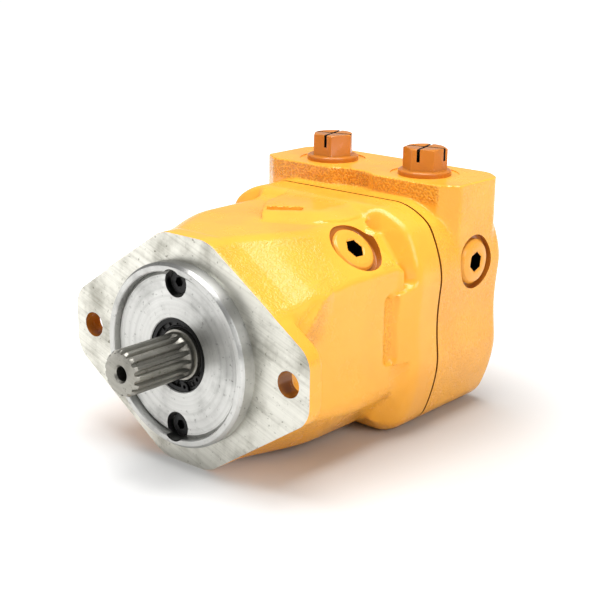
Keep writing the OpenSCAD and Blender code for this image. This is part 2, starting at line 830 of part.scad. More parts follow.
// Each piston stays parallel to the shaft, so only its ball centre follows the swashplate
module piston(i) {
  turn = 360 * (i - 1) / pistons;
  reach = ball_circle_r * [cos(turn), -sin(turn)];
  r = piston_d / 2;
  color(steel)
  translate([reach.x, swash_y - reach.y * sin(swash_angle), reach.y * cos(swash_angle)])
  difference() {
    union() {
      sphere(r = ball_r);
      turned() polygon([
        [0, 0], [4.2, 0], [4.2, 5.4], [r - 0.6, 8.8], [r, 9.6], [r, piston_l - 0.8],
        [r - 0.8, piston_l], [0, piston_l]]);
    }
    rod(5.2, 20, piston_l + 1);
    rod(0.8, -ball_r - 1, 21);
  }
}

front_housing();
end_cover();
housing_o_ring();
cover_bolts();
cover_dowels();
seal_carrier();
seal_carrier_screws();
seal_carrier_o_ring();
shaft_seal();
seal_circlip();
front_bearing_cup();
front_bearing_cone();
front_bearing_cage();
front_bearing_rollers();
rear_bearing_ring();
rear_bearing_rollers();
swashplate();
swashplate_dowels();
valve_plate();
valve_plate_pin();
case_drain_plug();
case_drain_seal();
side_plug();
side_plug_seal();
port_plug_left();
port_plug_right();
port_seals();
drive_shaft();
cylinder_block();
ball_guide();
block_spring();
spring_front_washer();
spring_rear_washer();
spring_snap_ring();
pressure_pins();
retainer_plate();
for (i = [1:pistons]) shoe(i);
for (i = [1:pistons]) piston(i);
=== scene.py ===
"""Visual model of a fixed displacement axial piston pump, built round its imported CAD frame.

The two castings are solid fields: each is a formula that gives the distance from any point to the cast
skin, with real corner and fillet radii, and a net of quads is laid on its zero surface. Machined
surfaces are then cut into the net with turned and extruded tools, so they keep crisp edges. The shaft,
plugs, screws and rings are turned profiles or grids worked out by formula. Sizes are in millimetres in
the frame's own axes (shaft along -Y, ports on top), and meshes are written in metres.

Every field method takes x, y and z, the places in millimetres as arrays of one shape, and returns the
distance outside its solid there, negative inside. A tool is a closed mesh that cuts a piece, and its paint
goes on to the faces that it cuts.
"""

import json
import logging
import math
from dataclasses import dataclass
from enum import Enum
from typing import Callable, Sequence

import bmesh
import bpy
import numpy as np
from mathutils import Matrix, Vector


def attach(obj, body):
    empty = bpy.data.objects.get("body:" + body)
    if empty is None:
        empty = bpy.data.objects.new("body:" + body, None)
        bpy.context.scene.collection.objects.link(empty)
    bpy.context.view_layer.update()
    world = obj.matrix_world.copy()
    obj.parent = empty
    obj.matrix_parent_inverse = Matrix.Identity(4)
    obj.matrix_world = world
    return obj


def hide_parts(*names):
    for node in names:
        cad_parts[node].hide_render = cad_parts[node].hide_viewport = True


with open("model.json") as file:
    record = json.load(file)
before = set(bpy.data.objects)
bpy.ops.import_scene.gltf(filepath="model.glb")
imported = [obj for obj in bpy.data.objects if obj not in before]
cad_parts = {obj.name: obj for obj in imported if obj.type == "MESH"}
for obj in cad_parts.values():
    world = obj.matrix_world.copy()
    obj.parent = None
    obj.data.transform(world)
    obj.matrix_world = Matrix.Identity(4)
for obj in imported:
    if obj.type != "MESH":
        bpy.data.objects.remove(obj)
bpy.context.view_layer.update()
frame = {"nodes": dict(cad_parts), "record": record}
log = logging.getLogger("pump")

MM = 0.001
Array = np.ndarray
Field = Callable[[Array, Array, Array], Array]
Point = Sequence[float]
Piece = bpy.types.Object
Paint = bpy.types.Material
Tree = bpy.types.NodeTree
Socket = bpy.types.NodeSocket


# ---------------------------------------------------------------------------------- solid fields


def round_cut(a: Array, b: Array, r: float) -> Array:
    """Field of where both a and b are solid, with the outer edge rounded to radius r.

    Args:
        a: First field.
        b: Second field.
        r: Radius of the edge.

    Returns:
        The joint field.
    """
    u = np.maximum(a + r, 0.0)
    v = np.maximum(b + r, 0.0)
    return np.minimum(np.maximum(a, b), -r) + np.sqrt(u * u + v * v)


def round_join(a: Array, b: Array, r: float) -> Array:
    """Field of where a or b is solid, with the inner corner filled to radius r.

    Args:
        a: First field.
        b: Second field.
        r: Radius of the corner.

    Returns:
        The joint field.
    """
    u = np.maximum(r - a, 0.0)
    v = np.maximum(r - b, 0.0)
    return np.maximum(np.minimum(a, b), r) - np.sqrt(u * u + v * v)


def round_take(a: Array, b: Array, r: float) -> Array:
    """Field of a with b taken out of it, with the edge of the cut rounded to radius r."""
    return round_cut(a, -b, r)


def trim(first: Array, *cuts: tuple[Array, float]) -> Array:
    """Field of first, cut by each (field, radius) in turn as round_cut does."""
    for field, r in cuts:
        first = round_cut(first, field, r)
    return first


def plane(x: Array, z: Array, p: Point, q: Point) -> Array:
    """Distance outside the line from p to q in the (x, z) plane; the solid lies on its left.

    Args:
        x: Places across.
        z: Heights.
        p: First point of the line.
        q: Second point.

    Returns:
        The distance, negative on the left.
    """
    dx, dz = q[0] - p[0], q[1] - p[1]
    return ((x - p[0]) * dz - (z - p[1]) * dx) / math.hypot(dx, dz)


def capsule(x: Array, y: Array, z: Array, a: Point, b: Point, r: float) -> Array:
    """Distance to a rod of radius r with round ends, from a to b.

    Args:
        x: Places across.
        y: Places along the shaft.
        z: Heights.
        a: One end of its axis.
        b: The other end.
        r: Radius.

    Returns:
        The distance, negative inside.
    """
    start = np.array(a, float)
    run = np.array(b, float) - start
    dx, dy, dz = x - start[0], y - start[1], z - start[2]
    t = np.clip((dx * run[0] + dy * run[1] + dz * run[2]) / (run @ run), 0.0, 1.0)
    return np.sqrt((dx - t * run[0]) ** 2 + (dy - t * run[1]) ** 2 + (dz - t * run[2]) ** 2) - r


def box_field(x: Array, y: Array, z: Array, centre: Point, half: Point, r: float) -> Array:
    """Distance to a box with its edges and corners rounded to radius r.

    Args:
        x: Places across.
        y: Places along the shaft.
        z: Heights.
        centre: Middle of the box.
        half: Half of each side.
        r: Radius of the edges.

    Returns:
        The distance, negative inside.
    """
    q = [np.abs(v - c) - (h - r) for v, c, h in zip((x, y, z), centre, half)]
    outside = np.sqrt(sum(np.maximum(v, 0.0) ** 2 for v in q))
    return outside + np.minimum(np.maximum(np.maximum(q[0], q[1]), q[2]), 0.0) - r


def ease(v: Array, low: float, high: float) -> Array:
    """Smooth step from 0 at low to 1 at high."""
    t = np.clip((v - low) / (high - low), 0.0, 1.0)
    return t * t * (3.0 - 2.0 * t)


def net(field_of: Field, low: Point, high: Point, step: float) -> tuple[Array, Array]:
    """Lays quads on the zero surface of a field.

    A grid of cubes fills the box. Each cube that the surface crosses gets one vertex at the mean of its
    edge crossings, each grid edge that the surface crosses gets one quad through the four cubes round
    it, and every vertex is then moved down the field's slope on to the surface itself.

    Args:
        field_of: The field, negative inside.
        low: Lowest corner of the box, in millimetres.
        high: Highest corner of the box.
        step: Side of a cube.

    Returns:
        The vertices and the quads' corner numbers.
    """
    axes = [np.arange(a, b + step, step) for a, b in zip(low, high)]
    value = field_of(*np.meshgrid(*axes, indexing="ij"))
    inside = value < 0.0
    corners = [(i, j, k) for i in (0, 1) for j in (0, 1) for k in (0, 1)]
    size = [n - 1 for n in value.shape]

    def part(data: Array, c: Sequence[int]) -> Array:
        """The grid as seen from corner c of every cube."""
        return data[c[0] : c[0] + size[0], c[1] : c[1] + size[1], c[2] : c[2] + size[2]]

    count = sum(part(inside, c).astype(np.int8) for c in corners)
    cell = np.argwhere((count > 0) & (count < 8))
    at = {c: value[cell[:, 0] + c[0], cell[:, 1] + c[1], cell[:, 2] + c[2]] for c in corners}
    total = np.zeros((len(cell), 3))
    hits = np.zeros(len(cell))
    for c in corners:
        for axis in range(3):
            if c[axis]:
                continue
            d = tuple(v + (i == axis) for i, v in enumerate(c))
            crossed = (at[c] < 0.0) != (at[d] < 0.0)
            share = np.where(crossed, at[c] / np.where(crossed, at[c] - at[d], 1.0), 0.0)
            point = np.array(c, float) + share[:, None] * np.eye(3)[axis]
            total += np.where(crossed[:, None], point, 0.0)
            hits += crossed
    verts = np.array([a[0] for a in axes]) + step * (cell + total / hits[:, None])
    number = np.full(size, -1)
    number[tuple(cell.T)] = np.arange(len(cell))
    quads = []
    for axis in range(3):
        u, v = (axis + 1) % 3, (axis + 2) % 3
        first = np.moveaxis(inside, axis, 0)[:-1]
        second = np.moveaxis(inside, axis, 0)[1:]
        edge = np.argwhere(first != second)
        order = np.argsort([axis, *[a for a in range(3) if a != axis]])
        edge_at = edge[:, order]
        keep = (edge_at[:, u] > 0) & (edge_at[:, v] > 0) & (edge_at[:, u] < size[u]) & (edge_at[:, v] < size[v])
        edge_at = edge_at[keep]
        outward = first[tuple(edge[keep].T)]
        shift_u, shift_v = np.eye(3, dtype=int)[u], np.eye(3, dtype=int)[v]
        ring = [edge_at, edge_at - shift_u, edge_at - shift_u - shift_v, edge_at - shift_v]
        ids = np.stack([number[tuple(r.T)] for r in ring], axis=1)
        quads.append(np.where(outward[:, None], ids, ids[:, ::-1]))
    verts = settle(field_of, verts, 0.02 * step, 3)
    return verts, np.concatenate(quads)


def settle(field_of: Field, verts: Array, reach: float, rounds: int) -> Array:
    """Moves vertices along the field's slope until they lie on its zero surface.

    Args:
        field_of: The field.
        verts: The vertices.
        reach: Step used to measure the slope.
        rounds: Moves of each vertex.

    Returns:
        The moved vertices.
    """
    for _ in range(rounds):
        here = field_of(*verts.T)
        slope = np.stack([
            (field_of(*(verts + reach * unit).T) - field_of(*(verts - reach * unit).T)) / (2.0 * reach)
            for unit in np.eye(3)], axis=1)
        verts = verts - slope * (here / np.maximum((slope**2).sum(axis=1), 0.25))[:, None]
    return verts


# ------------------------------------------------------------------------------------ mesh tools


def new_piece(name: str, verts: Array, faces: Sequence, paint: Paint | None = None) -> Piece:
    """Makes a mesh object at the origin.

    Args:
        name: The object's name.
        verts: Points in millimetres.
        faces: Each face's corner numbers.
        paint: The material of all its faces.

    Returns:
        The object.
    """
    mesh = bpy.data.meshes.new(name)
    mesh.from_pydata((np.asarray(verts, float) * MM).tolist(), [], [list(map(int, f)) for f in faces])
    mesh.validate()
    mesh.update()
    if paint:
        mesh.materials.append(paint)
    piece = bpy.data.objects.new(name, mesh)
    bpy.context.scene.collection.objects.link(piece)
    return piece


def grid_faces(rows: int, columns: int) -> Array:
    """Quads of a grid whose vertices are numbered row by row, with its last column joined to the first.

    Args:
        rows: Rows of the grid.
        columns: Columns of the grid.

    Returns:
        The corner numbers of each quad.
    """
    r, c = np.meshgrid(np.arange(rows - 1), np.arange(columns), indexing="ij")
    a = r * columns + c
    b = r * columns + (c + 1) % columns
    return np.stack([a, b, b + columns, a + columns], axis=-1).reshape(-1, 4)


def capped_faces(rows: int, columns: int) -> list[list[int]]:
    """Faces of such a grid closed by a fan at each end, on two poles numbered after the grid's vertices.

    Args:
        rows: Rows of the grid.
        columns: Columns of the grid.

    Returns:
        The corner numbers of each face.
    """
    here = np.arange(columns)
    ahead = (here + 1) % columns
    pole = rows * columns
    last = pole - columns
    return [*grid_faces(rows, columns).tolist(), *[[pole, b, a] for a, b in zip(here, ahead)],
            *[[pole + 1, a, b] for a, b in zip(here + last, ahead + last)]]


def unit(degrees: float | Array) -> Array:
    """Unit vectors at angles in degrees, as rows of (u, v)."""
    angle = np.radians(degrees)
    return np.stack([np.cos(angle), np.sin(angle)], axis=-1)


def hexagon(across_flats: float, turn: float) -> Array:
    """Corners of a hexagon turned by an angle in degrees."""
    return across_flats / math.sqrt(3.0) * unit(60.0 * np.arange(6) + turn)


def strip(degrees: float, low: float, high: float, half: float) -> Array:
    """Corners of a strip of a half width that runs from low to high along a direction in degrees.

    Args:
        degrees: The direction.
        low: Where the strip starts.
        high: Where it ends.
        half: Half its width.

    Returns:
        Its corners, as rows of (u, v).
    """
    along = unit(degrees)
    across = np.array([-along[1], along[0]])
    return np.array([along * low - across * half, along * high - across * half,
                     along * high + across * half, along * low + across * half])


def about(axis: str, degrees: float) -> Matrix:
    """A turn about an axis."""
    return Matrix.Rotation(math.radians(degrees), 3, axis)


def soften(profile: Sequence[Point], closed: bool = False, steps: int = 4) -> Array:
    """Rounds the corners of an outline.

    Args:
        profile: Points as (u, v, radius); a radius of 0 keeps the corner sharp.
        closed: Whether the last point joins the first.
        steps: Pieces in each corner's arc.

    Returns:
        The outline's points as rows of (u, v).
    """
    points = np.array([p[:2] for p in profile], float)
    radii = [p[2] if len(p) > 2 else 0.0 for p in profile]
    n = len(points)
    out = []
    for i, (corner, r) in enumerate(zip(points, radii)):
        if r <= 0.0 or (not closed and i in (0, n - 1)):
            out.append(corner[None])
            continue
        u = points[i - 1] - corner
        w = points[(i + 1) % n] - corner
        lu, lw = np.linalg.norm(u), np.linalg.norm(w)
        u, w = u / lu, w / lw
        half = math.acos(float(np.clip(u @ w, -1.0, 1.0))) / 2.0
        run = min(r / math.tan(half), 0.49 * lu, 0.49 * lw)
        radius = run * math.tan(half)
        middle = (u + w) / np.linalg.norm(u + w)
        centre = corner + middle * radius / math.sin(half)
        first, last = corner + u * run - centre, corner + w * run - centre
        start = math.atan2(first[1], first[0])
        turn = (math.atan2(last[1], last[0]) - start + math.pi) % (2.0 * math.pi) - math.pi
        angle = start + turn * np.linspace(0.0, 1.0, steps + 1)
        out.append(centre + radius * np.stack([np.cos(angle), np.sin(angle)], axis=1))
    return np.concatenate(out)


def turned(name: str, profile: Sequence[Point], columns: int = 96, steps: int = 4,
           paint: Paint | None = None) -> Piece:
    """Turns a closed profile of (radius, y, corner radius) about the shaft axis.

    A profile that starts and ends on the axis makes a solid, with one vertex at each pole; any other
    profile makes a ring.

    Args:
        name: The piece's name.
        profile: The profile's corners, as soften takes them.
        columns: Vertices round the axis.
        steps: Pieces in each rounded corner.
        paint: The material of all its faces.

    Returns:
        The piece.
    """
    line = soften(profile, closed=profile[0][0] > 0.0, steps=steps)
    poles = line[0][0] <= 0.0
    body = line[1:-1] if poles else line
    angle = 2.0 * math.pi * np.arange(columns) / columns
    r, y = body[:, 0][:, None], body[:, 1][:, None]
    verts = np.stack([r * np.cos(angle), y + 0.0 * angle, r * np.sin(angle)], axis=-1).reshape(-1, 3)
    if poles:
        faces = capped_faces(len(body), columns)
        verts = np.concatenate([verts, [[0.0, line[0][1], 0.0], [0.0, line[-1][1], 0.0]]])
    else:
        faces = grid_faces(len(body) + 1, columns) % len(verts)
    piece = new_piece(name, verts, faces, paint)
    face_outwards(piece)
    return piece


def prism(name: str, outline: Array, low: float, high: float, along: str = "y",
          paint: Paint | None = None) -> Piece:
    """Extrudes a closed outline between two heights.

    Args:
        name: The piece's name.
        outline: Rows of (x, z), or of (x, y) where it is extruded along z.
        low: Height of one end.
        high: Height of the other.
        along: The direction, "y" or "z".
        paint: The material of all its faces.

    Returns:
        The piece.
    """
    n = len(outline)
    flat = np.asarray(outline, float)
    ends = []
    for height in (low, high):
        column = np.full(n, float(height))
        third = (flat[:, 0], column, flat[:, 1]) if along == "y" else (flat[:, 0], flat[:, 1], column)
        ends.append(np.stack(third, axis=1))
    faces = [*grid_faces(2, n).tolist(), list(range(n))[::-1], list(range(n, 2 * n))]
    piece = new_piece(name, np.concatenate(ends), faces, paint)
    face_outwards(piece)
    return piece


def face_outwards(piece: Piece) -> None:
    """Points every face of a closed mesh outwards.

    Args:
        piece: The piece.
    """
    work = bmesh.new()
    work.from_mesh(piece.data)
    bmesh.ops.recalc_face_normals(work, faces=work.faces)
    work.to_mesh(piece.data)
    work.free()


def place(piece: Piece, turn: Matrix | None = None, move: Point = (0.0, 0.0, 0.0)) -> Piece:
    """Turns a piece's mesh, then moves it by millimetres, and leaves its object at the origin.

    Args:
        piece: The piece.
        turn: The turn, if any.
        move: The move in millimetres.

    Returns:
        The piece.
    """
    matrix = Matrix.Translation(Vector(move) * MM) @ (turn.to_4x4() if turn else Matrix.Identity(4))
    piece.data.transform(matrix)
    return piece


def carve(piece: Piece, tools: Sequence[Piece], action: str = "DIFFERENCE") -> Piece:
    """Cuts closed tools out of a closed piece, or joins them to it, and removes the tools.

    Args:
        piece: The piece.
        tools: The tools, in order.
        action: The name of Blender's boolean operation.

    Returns:
        The piece.
    """
    for tool in tools:
        share_materials(piece.data, tool.data)
        step = piece.modifiers.new("cut", "BOOLEAN")
        step.operation = action
        step.solver = "MANIFOLD"
        step.object = tool
        step.material_mode = "INDEX"
        bake(piece)
        bpy.data.objects.remove(tool)
    return piece


def share_materials(mesh: bpy.types.Mesh, tool: bpy.types.Mesh) -> None:
    """Gives a tool's mesh the material list of the mesh it cuts, with its own materials added to both.

    Args:
        mesh: The mesh that is cut.
        tool: The tool's mesh.
    """
    for material in tool.materials:
        if mesh.materials.find(material.name) < 0:
            mesh.materials.append(material)
    table = np.array([mesh.materials.find(material.name) for material in tool.materials] or [0])
    index = np.zeros(len(tool.polygons), np.int32)
    tool.polygons.foreach_get("material_index", index)
    own = table[index]
    tool.materials.clear()
    for material in mesh.materials:
        tool.materials.append(material)
    tool.polygons.foreach_set("material_index", own.astype(np.int32))


def bake(piece: Piece) -> None:
    """Applies every modifier of a piece to its mesh.

    Args:
        piece: The piece.
    """
    graph = bpy.context.evaluated_depsgraph_get()
    final = piece.evaluated_get(graph)
    mesh = bpy.data.meshes.new_from_object(final, preserve_all_data_layers=True, depsgraph=graph)
    piece.modifiers.clear()
    old = piece.data
    piece.data = mesh
    bpy.data.meshes.remove(old)


def smooth(piece: Piece, degrees: float = 32.0) -> None:
    """Shades a piece smooth, with edges sharper than the angle kept as creases."""
    piece.data.shade_smooth()
    piece.data.set_sharp_from_angle(angle=math.radians(degrees))


def chamfer(piece: Piece, width: float, segments: int = 2, degrees: float = 35.0) -> None:
    """Rounds a piece's sharp edges with a small bevel of the given width in millimetres.

    Args:
        piece: The piece.
        width: Width of the bevel.
        segments: Faces across it.
        degrees: Least angle of an edge that is rounded.
    """
    step = piece.modifiers.new("edges", "BEVEL")
    step.width = width * MM
    step.segments = segments
    step.limit_method = "ANGLE"
    step.angle_limit = math.radians(degrees)
    bake(piece)


# -------------------------------------------------------------------------------------- finishes


class Marks(Enum):
    """Which tool left the marks on a bare metal surface."""

    NONE = "none"
    LATHE = "lathe"
    MILL = "mill"


def group_tree(name: str, inputs: Sequence[tuple], outputs: Sequence[tuple]) -> tuple:
    """Starts a shader node group.

    Args:
        name: The group's name.
        inputs: (name, socket type, default) of each input.
        outputs: (name, socket type) of each output.

    Returns:
        The tree, its input node and its output node.
    """
    tree = bpy.data.node_groups.new(name, "ShaderNodeTree")
    for label, kind, value in inputs:
        tree.interface.new_socket(label, in_out="INPUT", socket_type=kind).default_value = value
    for label, kind in outputs:
        tree.interface.new_socket(label, in_out="OUTPUT", socket_type=kind)
    return tree, tree.nodes.new("NodeGroupInput"), tree.nodes.new("NodeGroupOutput")


def add(tree: Tree, kind: str, **values) -> bpy.types.Node:
    """Adds a node, sets its properties, and sets its inputs from names with spaces written as _.

    Args:
        tree: The node tree.
        kind: The node's type.
        **values: Its properties and inputs.

    Returns:
        The node.
    """
    node = tree.nodes.new(kind)
    for key, value in values.items():
        if hasattr(node, key):
            setattr(node, key, value)
        else:
            node.inputs[key.replace("_", " ")].default_value = value
    return node


def wire(tree: Tree, source: Socket, target: Socket) -> None:
    """Joins an output to an input."""
    tree.links.new(source, target)


def noise_at(tree: Tree, scale: float, detail: float, rough: float = 0.55) -> Socket:
    """A noise on Object coordinates, and its value socket.

    Args:
        tree: The node tree.
        scale: Size of the pattern, in waves to the metre.
        detail: Octaves of finer noise.
        rough: Strength of the finer noise.

    Returns:
        The noise, about 0 to 1.
    """
    spot = add(tree, "ShaderNodeTexCoord")
    noise = add(tree, "ShaderNodeTexNoise", Scale=scale, Detail=detail, Roughness=rough)
    wire(tree, spot.outputs["Object"], noise.inputs["Vector"])
    return noise.outputs["Fac"]


def ramp(tree: Tree, source: Socket, low: float, high: float, first: float = 0.0,
         last: float = 1.0) -> Socket:
    """Maps a value from low..high to first..last, held at the ends.

    Args:
        tree: The node tree.
        source: The value.
        low: Where the ramp starts.
        high: Where it ends.
        first: Result at its start.
        last: Result at its end.

    Returns:
        The result.
    """
    node = add(tree, "ShaderNodeMapRange", interpolation_type="SMOOTHSTEP")
    for index, value in ((1, low), (2, high), (3, first), (4, last)):
        node.inputs[index].default_value = value
    wire(tree, source, node.inputs[0])
    return node.outputs[0]


def maths(tree: Tree, action: str, a: Socket | float, b: Socket | float) -> Socket:
    """Adds, multiplies or compares two sockets or numbers.

    Args:
        tree: The node tree.
        action: The Math node's operation.
        a: First value.
        b: Second value.

    Returns:
        The result.
    """
    node = add(tree, "ShaderNodeMath", operation=action)
    for index, value in ((0, a), (1, b)):
        if isinstance(value, (int, float)):
            node.inputs[index].default_value = value
        else:
            wire(tree, value, node.inputs[index])
    return node.outputs[0]


def blend_colour(tree: Tree, share: Socket, first: Socket | Point, last: Socket | Point) -> Socket:
    """Mixes two colours, each a socket or a plain colour, by a share.

    Args:
        tree: The node tree.
        share: Share of the last colour.
        first: First colour.
        last: Last colour.

    Returns:
        The mixed colour.
    """
    node = add(tree, "ShaderNodeMix", data_type="RGBA")
    for index, value in ((6, first), (7, last)):
        if isinstance(value, Socket):
            wire(tree, value, node.inputs[index])
        else:
            node.inputs[index].default_value = (*value, 1.0)
    wire(tree, share, node.inputs[0])
    return node.outputs[2]


def enamel_group() -> Tree:
    """Enamel over a cast skin: soft colour drift, orange peel, and coarse sand grain where the skin is rough.

    Height is a fine ripple of the paint plus a pebble pattern that grows with Grain. Colour leans to Deep in
    the hollows of the pebbles and in a slow drift over the casting.
    """
    tree, given, result = group_tree(
        "enamel_skin",
        [("Colour", "NodeSocketColor", (0.93, 0.43, 0.05, 1.0)), ("Deep", "NodeSocketColor", (0.6, 0.2, 0.02, 1.0)),
         ("Grain", "NodeSocketFloat", 0.0)],
        [("Colour", "NodeSocketColor"), ("Roughness", "NodeSocketFloat"), ("Height", "NodeSocketFloat")])
    drift = ramp(tree, noise_at(tree, 22.0, 3.0), 0.35, 0.75, 0.0, 0.22)
    peel = noise_at(tree, 420.0, 2.0, 0.4)
    pebble = ramp(tree, noise_at(tree, 760.0, 1.5, 0.45), 0.36, 0.64)
    dimple = maths(tree, "SUBTRACT", 1.0, pebble)
    rough = maths(tree, "MULTIPLY", given.outputs["Grain"], given.outputs["Grain"])
    hollow = maths(tree, "MULTIPLY", maths(tree, "MULTIPLY", dimple, rough), 0.5)
    colour = blend_colour(tree, maths(tree, "ADD", drift, hollow), given.outputs["Colour"], given.outputs["Deep"])
    wire(tree, colour, result.inputs["Colour"])
    wire(tree, ramp(tree, noise_at(tree, 60.0, 4.0), 0.3, 0.7, 0.16, 0.30), result.inputs["Roughness"])
    fine = maths(tree, "MULTIPLY", peel, 0.10)
    coarse = maths(tree, "MULTIPLY", pebble, given.outputs["Grain"])
    wire(tree, maths(tree, "ADD", fine, coarse), result.inputs["Height"])
    return tree


def bare_metal_group() -> Tree:
    """Bare metal: cloudy tarnish, small specks, and the circular grooves of a lathe or the straight ones of a mill.

    Height is a one-dimensional noise of the distance from the shaft axis where Turned is 1, or of the distance
    along a slanted line where it is 0.
    """
    tree, given, result = group_tree(
        "bare_metal",
        [("Colour", "NodeSocketColor", (0.5, 0.5, 0.47, 1.0)), ("Tarnish", "NodeSocketColor", (0.2, 0.19, 0.16, 1.0)),
         ("Amount", "NodeSocketFloat", 0.4), ("Turned", "NodeSocketFloat", 1.0), ("Roughness", "NodeSocketFloat", 0.3)],
        [("Colour", "NodeSocketColor"), ("Roughness", "NodeSocketFloat"), ("Height", "NodeSocketFloat")])
    spot = add(tree, "ShaderNodeTexCoord")
    split = add(tree, "ShaderNodeSeparateXYZ")
    wire(tree, spot.outputs["Object"], split.inputs[0])
    x, z = split.outputs[0], split.outputs[2]
    square = maths(tree, "ADD", maths(tree, "MULTIPLY", x, x), maths(tree, "MULTIPLY", z, z))
    radius = maths(tree, "POWER", square, 0.5)
    slant = maths(tree, "ADD", maths(tree, "MULTIPLY", x, 0.35), z)
    across = add(tree, "ShaderNodeMix", data_type="FLOAT")
    wire(tree, given.outputs["Turned"], across.inputs[0])
    wire(tree, slant, across.inputs[2])
    wire(tree, radius, across.inputs[3])
    groove, broad = (add(tree, "ShaderNodeTexNoise", noise_dimensions="1D", Scale=1.0, Detail=detail, Roughness=rough)
                     for detail, rough in ((4.0, 0.7), (3.0, 0.6)))
    for noise, density in ((groove, 2600.0), (broad, 420.0)):
        wire(tree, maths(tree, "MULTIPLY", across.outputs[0], density), noise.inputs["W"])
    cloud = ramp(tree, noise_at(tree, 38.0, 6.0, 0.62), 0.42, 0.72)
    speck = ramp(tree, noise_at(tree, 340.0, 3.0, 0.6), 0.60, 0.72)
    ring = ramp(tree, broad.outputs["Fac"], 0.35, 0.75, 0.0, 0.35)
    stain = maths(tree, "ADD", maths(tree, "ADD", cloud, speck), ring)
    dirt = maths(tree, "MULTIPLY", stain, given.outputs["Amount"])
    clamp = add(tree, "ShaderNodeClamp")
    wire(tree, dirt, clamp.inputs[0])
    colour = blend_colour(tree, clamp.outputs[0], given.outputs["Colour"], given.outputs["Tarnish"])
    rough = maths(tree, "ADD", given.outputs["Roughness"], maths(tree, "MULTIPLY", dirt, 0.25))
    wire(tree, colour, result.inputs["Colour"])
    wire(tree, rough, result.inputs["Roughness"])
    wire(tree, groove.outputs["Fac"], result.inputs["Height"])
    return tree


class Groups:
    """Holds the shader groups that the finishes share, each made once."""

    made: dict[str, Tree] = {}

    @classmethod
    def get(cls, name: str, maker: Callable[[], Tree]) -> Tree:
        """Returns the group of that name, made the first time."""
        if name not in cls.made:
            cls.made[name] = maker()
        return cls.made[name]


def start_material(name: str) -> tuple:
    """Makes an empty material with a Principled shader.

    Args:
        name: The material's name.

    Returns:
        The material, its tree and its shader.
    """
    material = bpy.data.materials.new(name)
    material.use_nodes = True
    tree = material.node_tree
    tree.nodes.clear()
    shader = add(tree, "ShaderNodeBsdfPrincipled")
    out = add(tree, "ShaderNodeOutputMaterial")
    wire(tree, shader.outputs[0], out.inputs[0])
    return material, tree, shader


@dataclass(frozen=True)
class Enamel:
    """Gloss machine enamel.

    Attributes:
        name: The material's name.
        colour: Colour of a full coat.
        deep: Colour in hollows.
        grain: How rough the skin is, or None to read it from the piece's own grain attribute.
        relief: Height of the texture in millimetres.
    """

    name: str
    colour: tuple = (0.94, 0.43, 0.042)
    deep: tuple = (0.56, 0.17, 0.012)
    grain: float | None = None
    relief: float = 0.42

    def build(self) -> Paint:
        """Makes the material."""
        material, tree, shader = start_material(self.name)
        skin = add(tree, "ShaderNodeGroup", node_tree=Groups.get("enamel", enamel_group))
        skin.inputs["Colour"].default_value = (*self.colour, 1.0)
        skin.inputs["Deep"].default_value = (*self.deep, 1.0)
        if self.grain is None:
            grain = add(tree, "ShaderNodeAttribute", attribute_name="grain", attribute_type="GEOMETRY")
            wire(tree, grain.outputs["Fac"], skin.inputs["Grain"])
        else:
            skin.inputs["Grain"].default_value = self.grain
        bump = add(tree, "ShaderNodeBump", Strength=0.9, Distance=self.relief * MM)
        wire(tree, skin.outputs["Height"], bump.inputs["Height"])
        wire(tree, skin.outputs["Colour"], shader.inputs["Base Color"])
        wire(tree, skin.outputs["Roughness"], shader.inputs["Roughness"])
        wire(tree, bump.outputs[0], shader.inputs["Normal"])
        shader.inputs["Specular IOR Level"].default_value = 0.32
        shader.inputs["Coat Weight"].default_value = 0.12
        shader.inputs["Coat Roughness"].default_value = 0.08
        return material


@dataclass(frozen=True)
class BareMetal:
    """Bare or oiled metal with its tool marks.

    Attributes:
        name: The material's name.
        colour: Clean colour.
        tarnish: Colour of the tarnish.
        amount: Share of tarnish.
        roughness: Roughness where it is clean.
        marks: The tool that left the marks.
        groove: Height of the marks in millimetres.
    """

    name: str
    colour: tuple
    tarnish: tuple
    amount: float = 0.4
    roughness: float = 0.3
    marks: Marks = Marks.LATHE
    groove: float = 0.02

    def build(self) -> Paint:
        """Makes the material."""
        material, tree, shader = start_material(self.name)
        metal = add(tree, "ShaderNodeGroup", node_tree=Groups.get("metal", bare_metal_group))
        metal.inputs["Colour"].default_value = (*self.colour, 1.0)
        metal.inputs["Tarnish"].default_value = (*self.tarnish, 1.0)
        metal.inputs["Amount"].default_value = self.amount
        metal.inputs["Turned"].default_value = 1.0 if self.marks is Marks.LATHE else 0.0
        metal.inputs["Roughness"].default_value = self.roughness
        wire(tree, metal.outputs["Colour"], shader.inputs["Base Color"])
        wire(tree, metal.outputs["Roughness"], shader.inputs["Roughness"])
        if self.marks is not Marks.NONE:
            bump = add(tree, "ShaderNodeBump", Strength=0.6, Distance=self.groove * MM)
            wire(tree, metal.outputs["Height"], bump.inputs["Height"])
            wire(tree, bump.outputs[0], shader.inputs["Normal"])
        shader.inputs["Metallic"].default_value = 1.0
        if self.marks is Marks.LATHE:
            away = add(tree, "ShaderNodeTexCoord")
            wire(tree, away.outputs["Object"], shader.inputs["Tangent"])
            shader.inputs["Anisotropic"].default_value = 0.75
        return material


